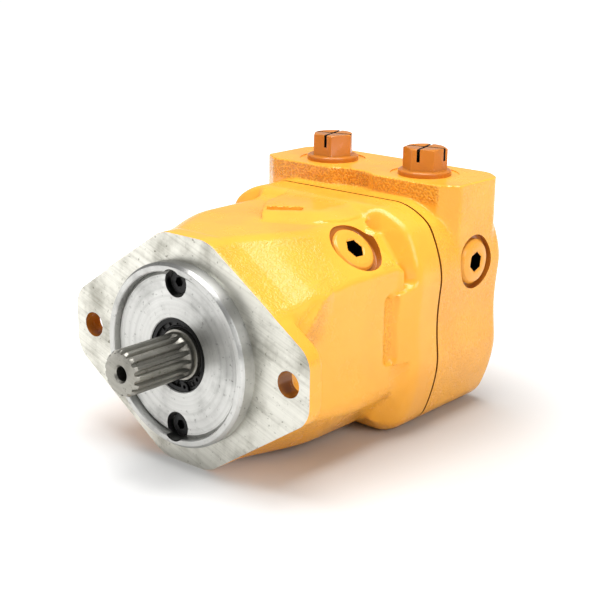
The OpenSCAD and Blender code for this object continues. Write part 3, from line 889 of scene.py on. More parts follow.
@dataclass(frozen=True)
class Rubber:
    """Matt black rubber or plastic with a little dust.

    Attributes:
        name: The material's name.
        colour: Clean colour.
        dust: Colour of the dust.
    """

    name: str
    colour: tuple = (0.012, 0.012, 0.012)
    dust: tuple = (0.05, 0.048, 0.045)

    def build(self) -> Paint:
        """Makes the material."""
        material, tree, shader = start_material(self.name)
        share = ramp(tree, noise_at(tree, 160.0, 4.0), 0.45, 0.8, 0.0, 0.7)
        wire(tree, blend_colour(tree, share, self.colour, self.dust), shader.inputs["Base Color"])
        wire(tree, ramp(tree, noise_at(tree, 300.0, 3.0), 0.3, 0.7, 0.42, 0.62), shader.inputs["Roughness"])
        return material


class Finishes:
    """Every finish of the pump, made once."""

    def __init__(self) -> None:
        """Builds the materials."""
        self.cast_paint = Enamel("cast_enamel").build()
        self.plug_paint, self.head_paint, self.hole_paint, self.recess_paint, self.seam_shade_paint = (
            Enamel(*values).build() for values in (
                ("plug_enamel", (0.56, 0.185, 0.018), (0.32, 0.09, 0.008), 0.05, 0.06),
                ("head_enamel", (0.88, 0.38, 0.04), (0.50, 0.16, 0.012), 0.0, 0.06),
                # Painted shade: the hole enamel is a dark copy of the cast enamel for the inside of the flange's bolt
                # holes.
                ("hole_shade_enamel", (0.36, 0.125, 0.018), (0.14, 0.045, 0.008), 0.15, 0.08),
                # Painted shade: the recess enamel is a dark copy of the cast enamel for the walls and floors of the
                # drain and side spotfaces.
                ("recess_shade_enamel", (0.42, 0.135, 0.014), (0.24, 0.07, 0.008), 0.1, 0.08),
                # Painted shade: the seam enamel is a dark copy of the cast enamel, laid on the faces in the joint's gap
                # so that the gap reads dark.
                ("seam_shade_enamel", (0.24, 0.075, 0.009), (0.12, 0.04, 0.005), 0.1, 0.05)))
        self.milled, self.turned_iron, self.shaft_steel, self.bright_steel, self.bronze, self.black_steel = (
            BareMetal(*values).build() for values in (
                ("milled_iron", (0.72, 0.71, 0.645), (0.26, 0.25, 0.205), 0.6, 0.36, Marks.MILL),
                ("turned_iron", (0.57, 0.57, 0.55), (0.14, 0.14, 0.13), 0.42, 0.30),
                ("oiled_shaft_steel", (0.33, 0.32, 0.285), (0.10, 0.095, 0.08), 0.5, 0.33, Marks.MILL, 0.015),
                ("ground_steel", (0.58, 0.58, 0.57), (0.26, 0.25, 0.23), 0.3, 0.22, Marks.LATHE, 0.008),
                ("bearing_bronze", (0.66, 0.44, 0.20), (0.30, 0.17, 0.07), 0.35, 0.3, Marks.LATHE, 0.01),
                ("black_oxide", (0.028, 0.028, 0.028), (0.010, 0.010, 0.010), 0.5, 0.34, Marks.NONE)))
        self.rubber = Rubber("seal_rubber").build()

    def dress_frame(self) -> None:
        """Gives each CAD node that still shows its finish, by its slot in the record."""
        by_slot = {"yellow_paint": self.plug_paint, "steel_parts": self.bright_steel, "machined_iron": self.turned_iron,
                   "shaft_steel": self.shaft_steel, "bronze": self.bronze, "black_rubber": self.rubber,
                   "black_steel": self.black_steel}
        for row in frame["record"]["subparts"]:
            node = frame["nodes"].get(row["node"])
            if node is not None:
                node.data.materials.clear()
                node.data.materials.append(by_slot[row["material_slot"]])


def finish_piece(piece: Piece, body: str, slot: str, *nodes: str) -> None:
    """Hangs a piece on its body and hides the CAD nodes that it stands for.

    Args:
        piece: The piece.
        body: The body that it rides on.
        slot: Its material slot in the record; not used.
        *nodes: The CAD nodes.
    """
    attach(piece, body)
    if nodes:
        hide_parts(*nodes)
    log.info("%s: %d faces, on %s", piece.name, len(piece.data.polygons), body)


# ------------------------------------------------------------------------------------- castings


# Places of the cover's four bolts, as (x, z).
COVER_BOLTS = ((56.0, 47.0), (-56.0, 47.0), (54.0, -43.0), (-54.0, -43.0))


@dataclass
class CastOutline:
    """The section that the housing's rim and the cover share, with a slight waist at each side.

    Attributes:
        side: Half width, away from the waist.
        waist: Depth of the waist.
        waist_z: Height of the waist.
        top: Height of the flat top.
        bottom: Height of the flat bottom.
        upper: Two points (x, z) on each upper facet.
        lower: Two points (x, z) on each lower facet.
        corner: Radius of the corners.
    """

    side: float = 75.4
    waist: float = 2.3
    waist_z: float = 3.0
    top: float = 68.5
    bottom: float = -64.0
    upper: tuple = ((75.4, 45.0), (57.0, 68.5))
    lower: tuple = ((61.0, -64.0), (75.6, -35.0))
    corner: float = 13.0

    def field(self, x: Array, z: Array, inset: float = 0.0) -> Array:
        """Distance outside the section, which is the rounded meeting of its sides, facets, top and bottom."""
        ax = np.abs(x)
        bow = 0.5 + 0.5 * np.cos(math.pi * np.clip((z - self.waist_z) / 36.0, -1.0, 1.0))
        side = ax - (self.side - self.waist * bow)
        section = trim(side, (plane(ax, z, *self.upper), self.corner), (plane(ax, z, *self.lower), 0.75 * self.corner),
                       (z - self.top, self.corner), (self.bottom - z, 11.0))
        return section + inset

    def land(self, name: str, low: float, high: float, inset: float) -> Piece:
        """A flat plate of the section, taken in by an inset, between two y values.

        Its edge is found along spokes from the axis, by halving the stretch in which the field changes sign.

        Args:
            name: The plate's name.
            low: Its first face, along the shaft.
            high: Its second face.
            inset: How far its edge is taken in.

        Returns:
            The plate.
        """
        spoke = 2.0 * math.pi * np.arange(240) / 240
        near, far = np.zeros(240), np.full(240, 130.0)
        for _ in range(40):
            middle = 0.5 * (near + far)
            inside = self.field(middle * np.cos(spoke), middle * np.sin(spoke), inset) < 0.0
            near, far = np.where(inside, middle, near), np.where(inside, far, middle)
        return prism(name, np.stack([near * np.cos(spoke), near * np.sin(spoke)], axis=1), low, high)


def tool_box(low: Point, high: Point, material: Paint) -> Piece:
    """A block that cuts flat faces in that material."""
    outline = np.array([[low[0], low[2]], [high[0], low[2]], [high[0], high[2]], [low[0], high[2]]])
    return prism("tool", outline, low[1], high[1], paint=material)


def rod_tool(radius: float, low: float, high: float, x: float, z: float, material: Paint,
             columns: int = 64) -> Piece:
    """A round bar along the shaft's direction, centred at (x, z).

    Args:
        radius: Radius of the bar.
        low: Start along the shaft.
        high: End along the shaft.
        x: Middle, across.
        z: Middle, in height.
        material: Its finish.
        columns: Vertices round it.

    Returns:
        The tool.
    """
    bar = turned("tool", [(0.0, low), (radius, low), (radius, high), (0.0, high)], columns, paint=material)
    return place(bar, move=(x, 0.0, z))


def kidney(radius: float, half_width: float, first: float, last: float, steps: int = 18) -> Array:
    """Outline of a slot bent round the axis: arcs of radius plus and minus its half width, with round ends.

    Args:
        radius: Radius of the slot's middle.
        half_width: Half its width.
        first: Angle of its first end's centre, in degrees.
        last: Angle of the other's.
        steps: Points on each arc.

    Returns:
        The outline as rows of (x, z).
    """
    sweep = np.linspace(first, last, steps)
    cap = np.linspace(0.0, 180.0, 9)[1:-1]
    ends = [radius * unit(angle) + half_width * unit(angle + turn + cap)
            for angle, turn in ((last, 0.0), (first, 180.0))]
    outer, inner = (radius + half_width) * unit(sweep), (radius - half_width) * unit(sweep[::-1])
    return np.concatenate([outer, ends[0], inner, ends[1]])


def set_grain(piece: Piece, rule: Callable[[Array, Array, Array, Array], Array]) -> None:
    """Writes the piece's grain attribute from a rule of x, y, z and the vertex normals.

    Args:
        piece: The piece.
        rule: Gives the grain, from 0 to 1.
    """
    count = len(piece.data.vertices)
    flat = np.empty(count * 3)
    piece.data.vertices.foreach_get("co", flat)
    x, y, z = (flat.reshape(-1, 3) / MM).T
    normals = np.empty(count * 3)
    piece.data.vertex_normals.foreach_get("vector", normals)
    attribute = piece.data.attributes.get("grain") or piece.data.attributes.new("grain", "FLOAT", "POINT")
    attribute.data.foreach_set("value", rule(x, y, z, normals.reshape(-1, 3)).astype(np.float32))


@dataclass
class FrontHousing:
    """The front casting: flange, pilot ring, faceted barrel and the rim at the cover joint.

    Attributes:
        finishes: The pump's finishes.
        outline: The rim's section.
        cell: Side of the net's cubes.
        flange_t: Thickness of the flange plate.
        ear_x: Half width of the flange across its ears.
        ear_z: Half height of the flat at an ear's tip.
        flange_z: Half height of the flange.
        flange_x: Half width of the flat at its top and bottom.
        bolt_x: Distance of each flange bolt from the axis.
        bolt_r: Radius of its hole.
        joint_y: Place of the cover joint.
        side_x: Half width of the barrel.
        top_z: Height of the barrel's flat top.
        pilot_r: Radius of the pilot ring.
        pilot_h: Height of the pilot ring.
        drain_y: Place of the drain plug along the shaft.
        drain_seat: Distance of the drain's seat from the axis.
        pad_z: Height of the raised tongue on top.
    """

    finishes: Finishes
    outline: CastOutline
    cell: float = 1.3
    flange_t: float = 10.5
    ear_x: float = 87.0
    ear_z: float = 17.0
    flange_z: float = 64.0
    flange_x: float = 17.0
    bolt_x: float = 73.0
    bolt_r: float = 7.15
    joint_y: float = 130.0
    side_x: float = 68.0
    top_z: float = 64.0
    pilot_r: float = 50.8
    pilot_h: float = 9.6
    drain_y: float = 78.6
    drain_seat: float = 70.8
    pad_z: float = 67.9

    def flange(self, x: Array, y: Array, z: Array) -> Array:
        """Field of the flange plate: an octagon with rounded corners and a soft back edge."""
        ax, az = np.abs(x), np.abs(z)
        slope = plane(ax, az, (self.ear_x, self.ear_z), (self.flange_x, self.flange_z))
        return trim(ax - self.ear_x, (slope, 6.0), (az - self.flange_z, 3.0), (y - self.flange_t, 2.2), (-2.5 - y, 0.5))

    def facet(self, x: Array, y: Array, z: Array) -> Array:
        """Distance outside the upper facet, whose edges spread away from the flange and whose middle is dished."""
        top_x = 17.0 + 21.4 * ease(y, 0.0, 60.0)
        side_z = 30.5 + 9.8 * ease(y, 2.0, 34.0)
        dx, dz = self.side_x - top_x, side_z - self.top_z
        span = np.sqrt(dx * dx + dz * dz)
        across, rise = np.abs(x) - top_x, z - self.top_z
        return (rise * dx - across * dz) / span + 0.7 * self.panel(y, (across * dx + rise * dz) / span)

    def barrel(self, x: Array, y: Array, z: Array) -> Array:
        """Field of the barrel: flat sides, top and bottom joined by facets that widen away from the flange."""
        ax = np.abs(x)
        wide = ease(y, 0.0, 60.0)
        low_x = 17.0 + 20.0 * wide
        low_z = -26.0 - 6.5 * ease(y, 8.0, 70.0)
        bottom = -63.8 + 2.4 * wide
        lx, lz = self.side_x - low_x, bottom - low_z
        lower = ((ax - low_x) * -lz - (z - bottom) * lx) / np.sqrt(lx * lx + lz * lz)
        return trim(ax - self.side_x, (self.facet(x, y, z), 1.8), (self.shoulder(x, y, z), 1.0),
                    (z - self.top_z + 0.012 * ax, 3.2), (lower, 4.0), (bottom - z, 7.0))

    def panel(self, y: Array, down: Array) -> Array:
        """Share, from 0 to 1, of the shallow dish in each facet, by place along the shaft and down the facet."""
        return ease(y, 9.0, 17.0) * ease(-y, -57.0 + 0.1 * down, -49.0 + 0.1 * down) * ease(down, 3.0, 9.0)

    def shoulder(self, x: Array, y: Array, z: Array) -> Array:
        """Distance outside the slanting face that runs from each facet's lower edge down to the ear."""
        return 0.88 * np.abs(x) - 0.26 * y + 0.40 * z - 67.6

    def web(self, x: Array, y: Array, z: Array) -> Array:
        """Field of the web behind each ear: two slanting faces that meet in a ridge running back up the side."""
        ax = np.abs(x)
        under = 0.96 * ax + 0.23 * y - 0.14 * z - 69.6
        return trim(self.shoulder(x, y, z), (under, 1.0), (self.facet(x, y, z), 1.0), (y - 41.0, 2.0),
                    (61.0 - ax, 1.0), (1.0 - z, 3.0), (9.0 - y, 1.0))

    def rim(self, x: Array, y: Array, z: Array) -> Array:
        """Field of the rim: the cover's section with a sloping front that has a rounded bead."""
        section = self.outline.field(x, z)
        front = (108.0 - y) * 0.66 + (section + 0.3) * 0.75
        return trim(section, (front, 3.2), (93.5 - y, 2.0))

    def gutter(self, x: Array, y: Array, z: Array) -> Array:
        """Field of the gutter cut between each facet's curved rear edge and the rim's front face."""
        ax = np.abs(x)
        section = self.outline.field(x, z)
        lift = z - 51.0
        edge = 96.4 + np.where(lift > 0.0, np.minimum(0.042 * lift**2, 5.5), np.minimum(0.033 * lift**2, 6.0))
        face = (y - 109.6) * 0.90 - (section + 0.3) * 0.44
        return trim(edge - y, (face, 2.0), (-13.0 - section, 1.5), ((28.0 - z) * 0.9 + 0.2 * (y - 100.0), 2.5),
                    ((41.0 - ax) * 0.9 + (y - 104.0) * 0.3, 3.0))

    def cheek(self, x: Array, y: Array, z: Array) -> Array:
        """Field of the low wedge on each side, which rises to the rim between two slanting ends."""
        ax = np.abs(x)
        section = self.outline.field(x, z) + 0.3
        cheek = trim(section, ((111.0 - y) * 0.25 + section * 0.97, 2.0), ((z - 24.0 - 0.35 * (y - 92.0)) * 0.94, 1.2),
                     ((-15.5 - z) * 0.99, 1.0), (60.0 - ax, 1.0))
        return np.maximum(cheek, y - 112.0)

    def pad(self, x: Array, y: Array, z: Array) -> Array:
        """Field of the raised tongue on top: a hipped plateau, steep on its left, with a slot near its front."""
        points = [(-14.0, 78.0), (-8.5, 70.0), (6.0, 54.0), (21.0, 60.0),
                  (32.0, 71.0), (38.0, 84.0), (38.0, 118.0), (-26.0, 118.0)]
        tongue = np.full(np.broadcast(x, y, z).shape, -1e3)
        for p, q in zip(points, points[1:] + points[:1]):
            tongue = round_cut(tongue, plane(x, y, p, q), 2.5)
        front = 0.27 * (0.54 * x - 0.84 * y + 42.5) + 0.96 * (z - 64.4)
        right = 0.27 * (x - 37.5) + 0.96 * (z - 64.4)
        tongue = trim(tongue, (z - self.pad_z, 0.8), (front, 0.9), (right, 0.9), (55.0 - z, 1.0))
        turn = math.radians(36.0)
        u = (x - 5.0) * math.cos(turn) + (y - 74.5) * math.sin(turn)
        v = -(x - 5.0) * math.sin(turn) + (y - 74.5) * math.cos(turn)
        slot = box_field(u, v, z, (0.0, 0.0, 68.6), (10.0, 4.0, 3.6), 0.9)
        return round_take(tongue, slot, 0.5)

    def field(self, x: Array, y: Array, z: Array) -> Array:
        """Distance outside the whole casting, before machining."""
        ax = np.abs(x)
        body = trim(self.barrel(x, y, z), (y - 112.0, 1.0), (1.0 - y, 0.5))
        for part, r in ((self.web, 1.2), (self.rim, 2.5), (self.cheek, 0.8), (self.pad, 0.9)):
            body = round_join(body, part(x, y, z), r)
        body = round_take(body, self.gutter(x, y, z), 2.4)
        slot = capsule(ax, y, z, (71.0, 91.0, -10.5), (71.0, 91.0, 21.5), 5.6)
        body = round_take(body, slot, 1.0)
        scallop = capsule(ax, y, z, (78.0, 8.0, 0.0), (78.0, 22.0, 0.0), 12.8)
        body = round_take(body, scallop, 2.0)
        whole = round_join(body, self.flange(x, y, z), 2.0)
        whole = np.maximum(whole, -64.0 - z)
        return round_cut(whole, y - (self.joint_y + 2.5), 0.5)

    def tools(self) -> list[Piece]:
        """The cuts that machine the casting, in order."""
        f = self.finishes
        cuts = [
            tool_box((-95, -10, -80), (95, 0, 80), f.milled),
            # The joint face is cut in the dark seam enamel, painted shade for the gap at the cover joint.
            tool_box((-95, self.joint_y - 0.8, -80), (95, self.joint_y + 10, 80), f.seam_shade_paint),
        ]
        # The flange's bolt holes are cut in the dark hole enamel, painted shade inside them.
        cuts += [rod_tool(self.bolt_r, -5, 24, side * self.bolt_x, 0, f.hole_paint) for side in (-1, 1)]
        reach = self.drain_seat / math.sqrt(2.0)
        seat = [(0.0, -24.0), (16.5, -24.0), (16.5, 0.0, 0.8), (0.0, 0.0)]
        hole = [(0.0, -24.0), (9.2, -24.0), (9.2, 16.0), (6.0, 17.0), (6.0, 40.0), (0.0, 40.0)]
        # The drain's spotface is cut in the dark recess enamel, painted shade in the recess; its hole keeps the cast
        # enamel.
        for profile, paint in ((seat, f.recess_paint), (hole, f.cast_paint)):
            face = turned("tool", profile, 96, paint=paint)
            cuts.append(place(face, about("Y", 45.0) @ about("X", -90.0), (reach, self.drain_y, reach)))
        return cuts

    def build(self) -> Piece:
        """Nets the casting, adds the pilot ring, machines it and dresses it."""
        f = self.finishes
        verts, faces = net(self.field, (-90.0, -5.0, -68.0), (90.0, 135.0, 72.0), self.cell)
        piece = new_piece("front_casting", verts, faces, f.cast_paint)
        carve(piece, self.tools())
        ring = turned("pilot", [
            (0.0, 2.0), (self.pilot_r - 0.5, 2.0), (self.pilot_r - 0.5, -1.6, 0.3), (self.pilot_r, -1.9),
            (self.pilot_r, 1.9 - self.pilot_h, 0.3), (self.pilot_r - 1.5, -self.pilot_h, 0.3), (0.0, -self.pilot_h)],
            160, paint=f.turned_iron)
        carve(piece, [ring], "UNION")
        bore = turned("bore", [
            (0.0, -12.0), (46.6, -12.0), (46.6, -self.pilot_h), (46.0, -self.pilot_h + 0.6), (46.0, 4.0), (32.0, 4.0),
            (32.0, 8.0), (31.0, 8.0), (31.0, 24.0), (27.0, 24.0), (27.0, 28.0), (51.0, 28.0),
            (51.0, 140.0), (0.0, 140.0)], 160, paint=f.turned_iron)
        notches = [rod_tool(7.9, -14, 0.5, 0, side * 40.1, f.turned_iron, 96) for side in (-1, 1)]
        threads = [rod_tool(4.0, 0, 20, 0, side * 40.1, f.turned_iron, 32) for side in (-1, 1)]
        bolts = [rod_tool(6.0, self.joint_y - 15, self.joint_y + 2, x, z, f.turned_iron, 32)
                 for x, z in COVER_BOLTS]
        carve(piece, [bore, *notches, *threads, *bolts])
        smooth(piece, 30.0)
        set_grain(piece, self.grain)
        finish_piece(piece, "casing", "yellow_paint", "front_housing")
        return piece

    def grain(self, x: Array, y: Array, z: Array, normal: Array) -> Array:
        """Roughest in the facet panels and under the webs, smooth on the machined pads and the rim."""
        ax = np.abs(x)
        facing = ease(normal[:, 2], 0.55, 0.66) * ease(-normal[:, 2], -0.93, -0.86)
        panel = facing * ease(-y, -74.0, -42.0) * ease(z, 30.0, 36.0)
        under = ease(np.abs(normal[:, 0]), 0.88, 0.95) * ease(ax, 66.0, 68.5)
        under = under * ease(-y, -44.0, -28.0) * ease(z, 10.0, 17.0)
        below = 0.35 * ease(-normal[:, 2], 0.2, 0.7)
        slot = ease(-np.abs(y - 91.0), -6.0, -4.5) * ease(-ax, -67.5, -66.5) * ease(ax, 63.0, 64.0)
        return np.clip(0.06 + 0.42 * panel + 0.65 * under + below + 0.6 * slot, 0.0, 1.0)


@dataclass
class EndCover:
    """The rear casting: the cover body under the joint's section, and the port block across its top.

    Attributes:
        finishes: The pump's finishes.
        outline: The body's section.
        cell: Side of the net's cubes.
        joint_y: Place of the cover joint.
        rear_y: Place of the rear face.
        block_x: Half width of the port block.
        block_y: Place of the block's front face.
        block_top: Height of its top face.
        port_x: Distance of each port from the middle.
        port_y: Place of the ports along the shaft.
        side_plug: Middle of the side plug's seat.
    """

    finishes: Finishes
    outline: CastOutline
    cell: float = 1.3
    joint_y: float = 130.0
    rear_y: float = 196.0
    block_x: float = 73.0
    block_y: float = 140.5
    block_top: float = 79.0
    port_x: float = 35.0
    port_y: float = 166.0
    side_plug: tuple = (70.0, 165.5, 31.7)

    def block(self, x: Array, y: Array, z: Array) -> Array:
        """Field of the port block: a slab with slanting corners and a rounded groove down its front."""
        ax = np.abs(x)
        front = plane(ax, y, (self.block_x - 11.0, self.block_y), (self.block_x, self.block_y + 8.0))
        rear = plane(ax, y, (self.block_x, self.rear_y - 9.5), (self.block_x - 11.0, self.rear_y))
        block = trim(ax - self.block_x, (self.block_y - y, 0.6), (y - self.rear_y, 3.0), (front, 1.0), (rear, 3.0),
                     (18.0 - z, 2.0))
        groove = np.sqrt(x * x + (y - self.block_y + 18.3) ** 2) - 24.3
        return round_cut(round_take(block, groove, 0.8), z - self.block_top, 0.9)

    def field(self, x: Array, y: Array, z: Array) -> Array:
        """Distance outside the whole casting, before machining."""
        body = round_cut(self.outline.field(x, z), y - self.rear_y, 8.0)
        whole = round_join(body, self.block(x, y, z), 1.8)
        whole = np.maximum(whole, y - self.rear_y)
        return round_cut(whole, (self.joint_y - 2.5) - y, 0.5)

    def tools(self) -> list[Piece]:
        """The cuts that machine the casting, in order."""
        f = self.finishes
        # The joint face is cut in the dark seam enamel, painted shade for the gap at the cover joint.
        cuts = [tool_box((-95, self.joint_y - 10, -80), (95, self.joint_y + 0.8, 90), f.seam_shade_paint)]
        bearing = [(0.0, 120.0), (18.0, 120.0), (18.0, 150.0), (13.0, 150.0), (13.0, 156.0), (0.0, 156.0)]
        cuts.append(turned("tool", bearing, 96, paint=f.turned_iron))
        cuts += [prism("tool", kidney(31.5, 4.6, side - 55.0, side + 55.0), 120.0, self.port_y, paint=f.turned_iron)
                 for side in (0.0, 180.0)]
        up = about("X", 90.0)
        for side in (-1, 1):
            port = turned("tool", [
                (0.0, -22.0), (10.0, -22.0), (10.0, self.block_top - 19.0), (13.5, self.block_top - 19.0),
                (13.5, self.block_top - 0.6), (20.6, self.block_top - 0.6), (20.6, self.block_top + 4.0),
                (0.0, self.block_top + 4.0)], 96, paint=f.cast_paint)
            cuts.append(place(port, up, (side * self.port_x, self.port_y, 0.0)))
        for x, z in COVER_BOLTS:
            cuts.append(place(turned("tool", [
                (0.0, 120.0), (6.5, 120.0), (6.5, self.rear_y - 16.0), (10.0, self.rear_y - 16.0),
                (10.0, self.rear_y + 4.0), (0.0, self.rear_y + 4.0)], 64, paint=f.cast_paint), move=(x, 0.0, z)))
        # The side port's spotface is cut in the dark recess enamel, painted shade in the recess.
        side_port = turned("tool", [
            (0.0, -36.0), (3.0, -36.0), (3.0, -15.0), (7.2, -14.0), (7.2, 0.0), (16.0, 0.0), (16.0, 8.0), (0.0, 8.0)],
            96, paint=f.recess_paint)
        cuts.append(place(side_port, about("Z", -90.0), self.side_plug))
        return cuts

    def build(self) -> Piece:
        """Nets the casting, adds its joint land, machines it and dresses it."""
        verts, faces = net(self.field, (-79.0, 124.0, -68.0), (79.0, 200.0, 83.0), self.cell)
        piece = new_piece("cover_casting", verts, faces, self.finishes.cast_paint)
        cuts = self.tools()
        carve(piece, cuts[:1])
        # The land's edge shows in the joint's gap, so it also gets the dark seam enamel as painted shade.
        land = self.outline.land("land", self.joint_y - 0.7, self.joint_y + 3.0, 1.5)
        land.data.materials.append(self.finishes.seam_shade_paint)
        carve(piece, [land], "UNION")
        carve(piece, cuts[1:])
        smooth(piece, 30.0)
        set_grain(piece, self.grain)
        finish_piece(piece, "casing", "yellow_paint", "end_cover")
        return piece

    def grain(self, x: Array, y: Array, z: Array, normal: Array) -> Array:
        """Coarse on the front and ends of the port block, finer on the cover body, smooth on the top face."""
        bar = np.where(x < 0.0, 0.45, 0.85)
        front = 0.95 * ease(-normal[:, 1] - bar, 0.0, 0.08) * ease(z, 66.0, 68.5)
        side = 0.35 * ease(np.abs(normal[:, 0]), 0.5, 0.9)
        top = ease(normal[:, 2], 0.8, 0.95) * ease(z, 78.0, 78.8)
        rear = 0.25 * ease(normal[:, 1], 0.3, 0.8)
        return np.clip((0.07 + front + side + rear) * (1.0 - 0.9 * top), 0.0, 1.0)


# --------------------------------------------------------------------------------- smaller parts


@dataclass
class DriveShaft:
    """The splined shaft, as one grid of angle and length whose radius follows its teeth, collar and journals.

    Attributes:
        finishes: The pump's finishes.
        teeth: Teeth of the drive spline.
        tip_r: Radius of the teeth's tips.
        root_r: Radius of their roots.
        reach: Distance of the shaft's end from the mounting face.
        columns: Vertices round the shaft.
    """

    finishes: Finishes
    teeth: int = 15
    tip_r: float = 12.49
    root_r: float = 10.75
    reach: float = 46.4
    columns: int = 480

    def tooth(self, turn: Array, teeth: int, root: float, tip: float) -> Array:
        """Radius at a turn in 0..1: flat tip and root joined by bulged flanks.

        Args:
            turn: Place round the shaft, from 0 to 1.
            teeth: Number of teeth.
            root: Radius of the roots.
            tip: Radius of the tips.

        Returns:
            The radius.
        """
        phase = np.abs((turn * teeth + 0.5) % 1.0 - 0.5)
        share = np.clip((0.345 - phase) / (0.345 - 0.17), 0.0, 1.0)
        return root + (tip - root) * share ** 0.85

    def build(self) -> Piece:
        """Lays out the grid: y stations with an outer radius, a cap on the teeth, and a run-out that fills the gaps."""
        stations = [
            (-self.reach, 8.2, 0), (-self.reach, 11.2, 1), (-self.reach + 0.15, 11.5, 1), (-self.reach + 1.0, 12.0, 1),
            (-self.reach + 1.9, 12.6, 1), *[(y, 13.0, 1) for y in np.linspace(-42.0, -15.0, 8)],
            *[(y, 13.0, 1) for y in np.linspace(-14.0, -7.6, 9)], (-7.0, 12.9, 1), (-4.95, 12.75, 1),
            (-4.9, 13.4, 0), (-4.7, 13.9, 0), (-4.2, 14.1, 0), (8.0, 14.1, 0), (8.0, 15.0, 0), (26.0, 15.0, 0),
            (26.0, 17.3, 0), (26.3, 17.5, 0), (31.8, 17.5, 0), (32.4, 14.6, 0), (33.0, 14.0, 0), (55.4, 14.0, 0),
            (55.5, 13.4, 0), (55.5, 13.2, 2), (104.0, 13.2, 2), (104.0, 11.6, 0), (131.0, 11.6, 0), (131.0, 10.0, 0),
            (150.0, 10.0, 0), (151.0, 9.0, 0)]
        turn = np.arange(self.columns) / self.columns
        spline = self.tooth(turn, self.teeth, self.root_r, self.tip_r)
        inner = self.tooth(turn, 16, 11.8, 13.2)
        rows = []
        for y, cap, kind in stations:
            fill = self.root_r + max(0.0, y + 14.0) ** 2 * 0.053
            profile = {0: np.full(self.columns, cap), 1: np.minimum(np.maximum(spline, min(fill, 12.75)), cap),
                       2: np.minimum(inner, cap)}[kind]
            if kind == 0 and y == -self.reach:
                profile = np.minimum(profile, spline)
            rows.append(np.stack([profile, np.full(self.columns, y)], axis=-1))
        start = [(4.0, -self.reach + 20.0), (4.0, -self.reach + 1.2), (4.9, -self.reach + 0.1), (5.2, -self.reach)]
        rows = [np.stack([np.full(self.columns, r), np.full(self.columns, y)], axis=-1) for r, y in start] + rows
        data = np.array(rows)
        angle = 2.0 * math.pi * turn
        verts = np.stack([data[..., 0] * np.cos(angle), data[..., 1], data[..., 0] * np.sin(angle)], axis=-1)
        verts = np.concatenate([verts.reshape(-1, 3), [[0.0, -self.reach + 22.0, 0.0], [0.0, 151.0, 0.0]]])
        piece = new_piece("splined_shaft", verts, capped_faces(len(data), self.columns), self.finishes.shaft_steel)
        face_outwards(piece)
        smooth(piece, 28.0)
        finish_piece(piece, "rotor", "shaft_steel", "drive_shaft")
        return piece


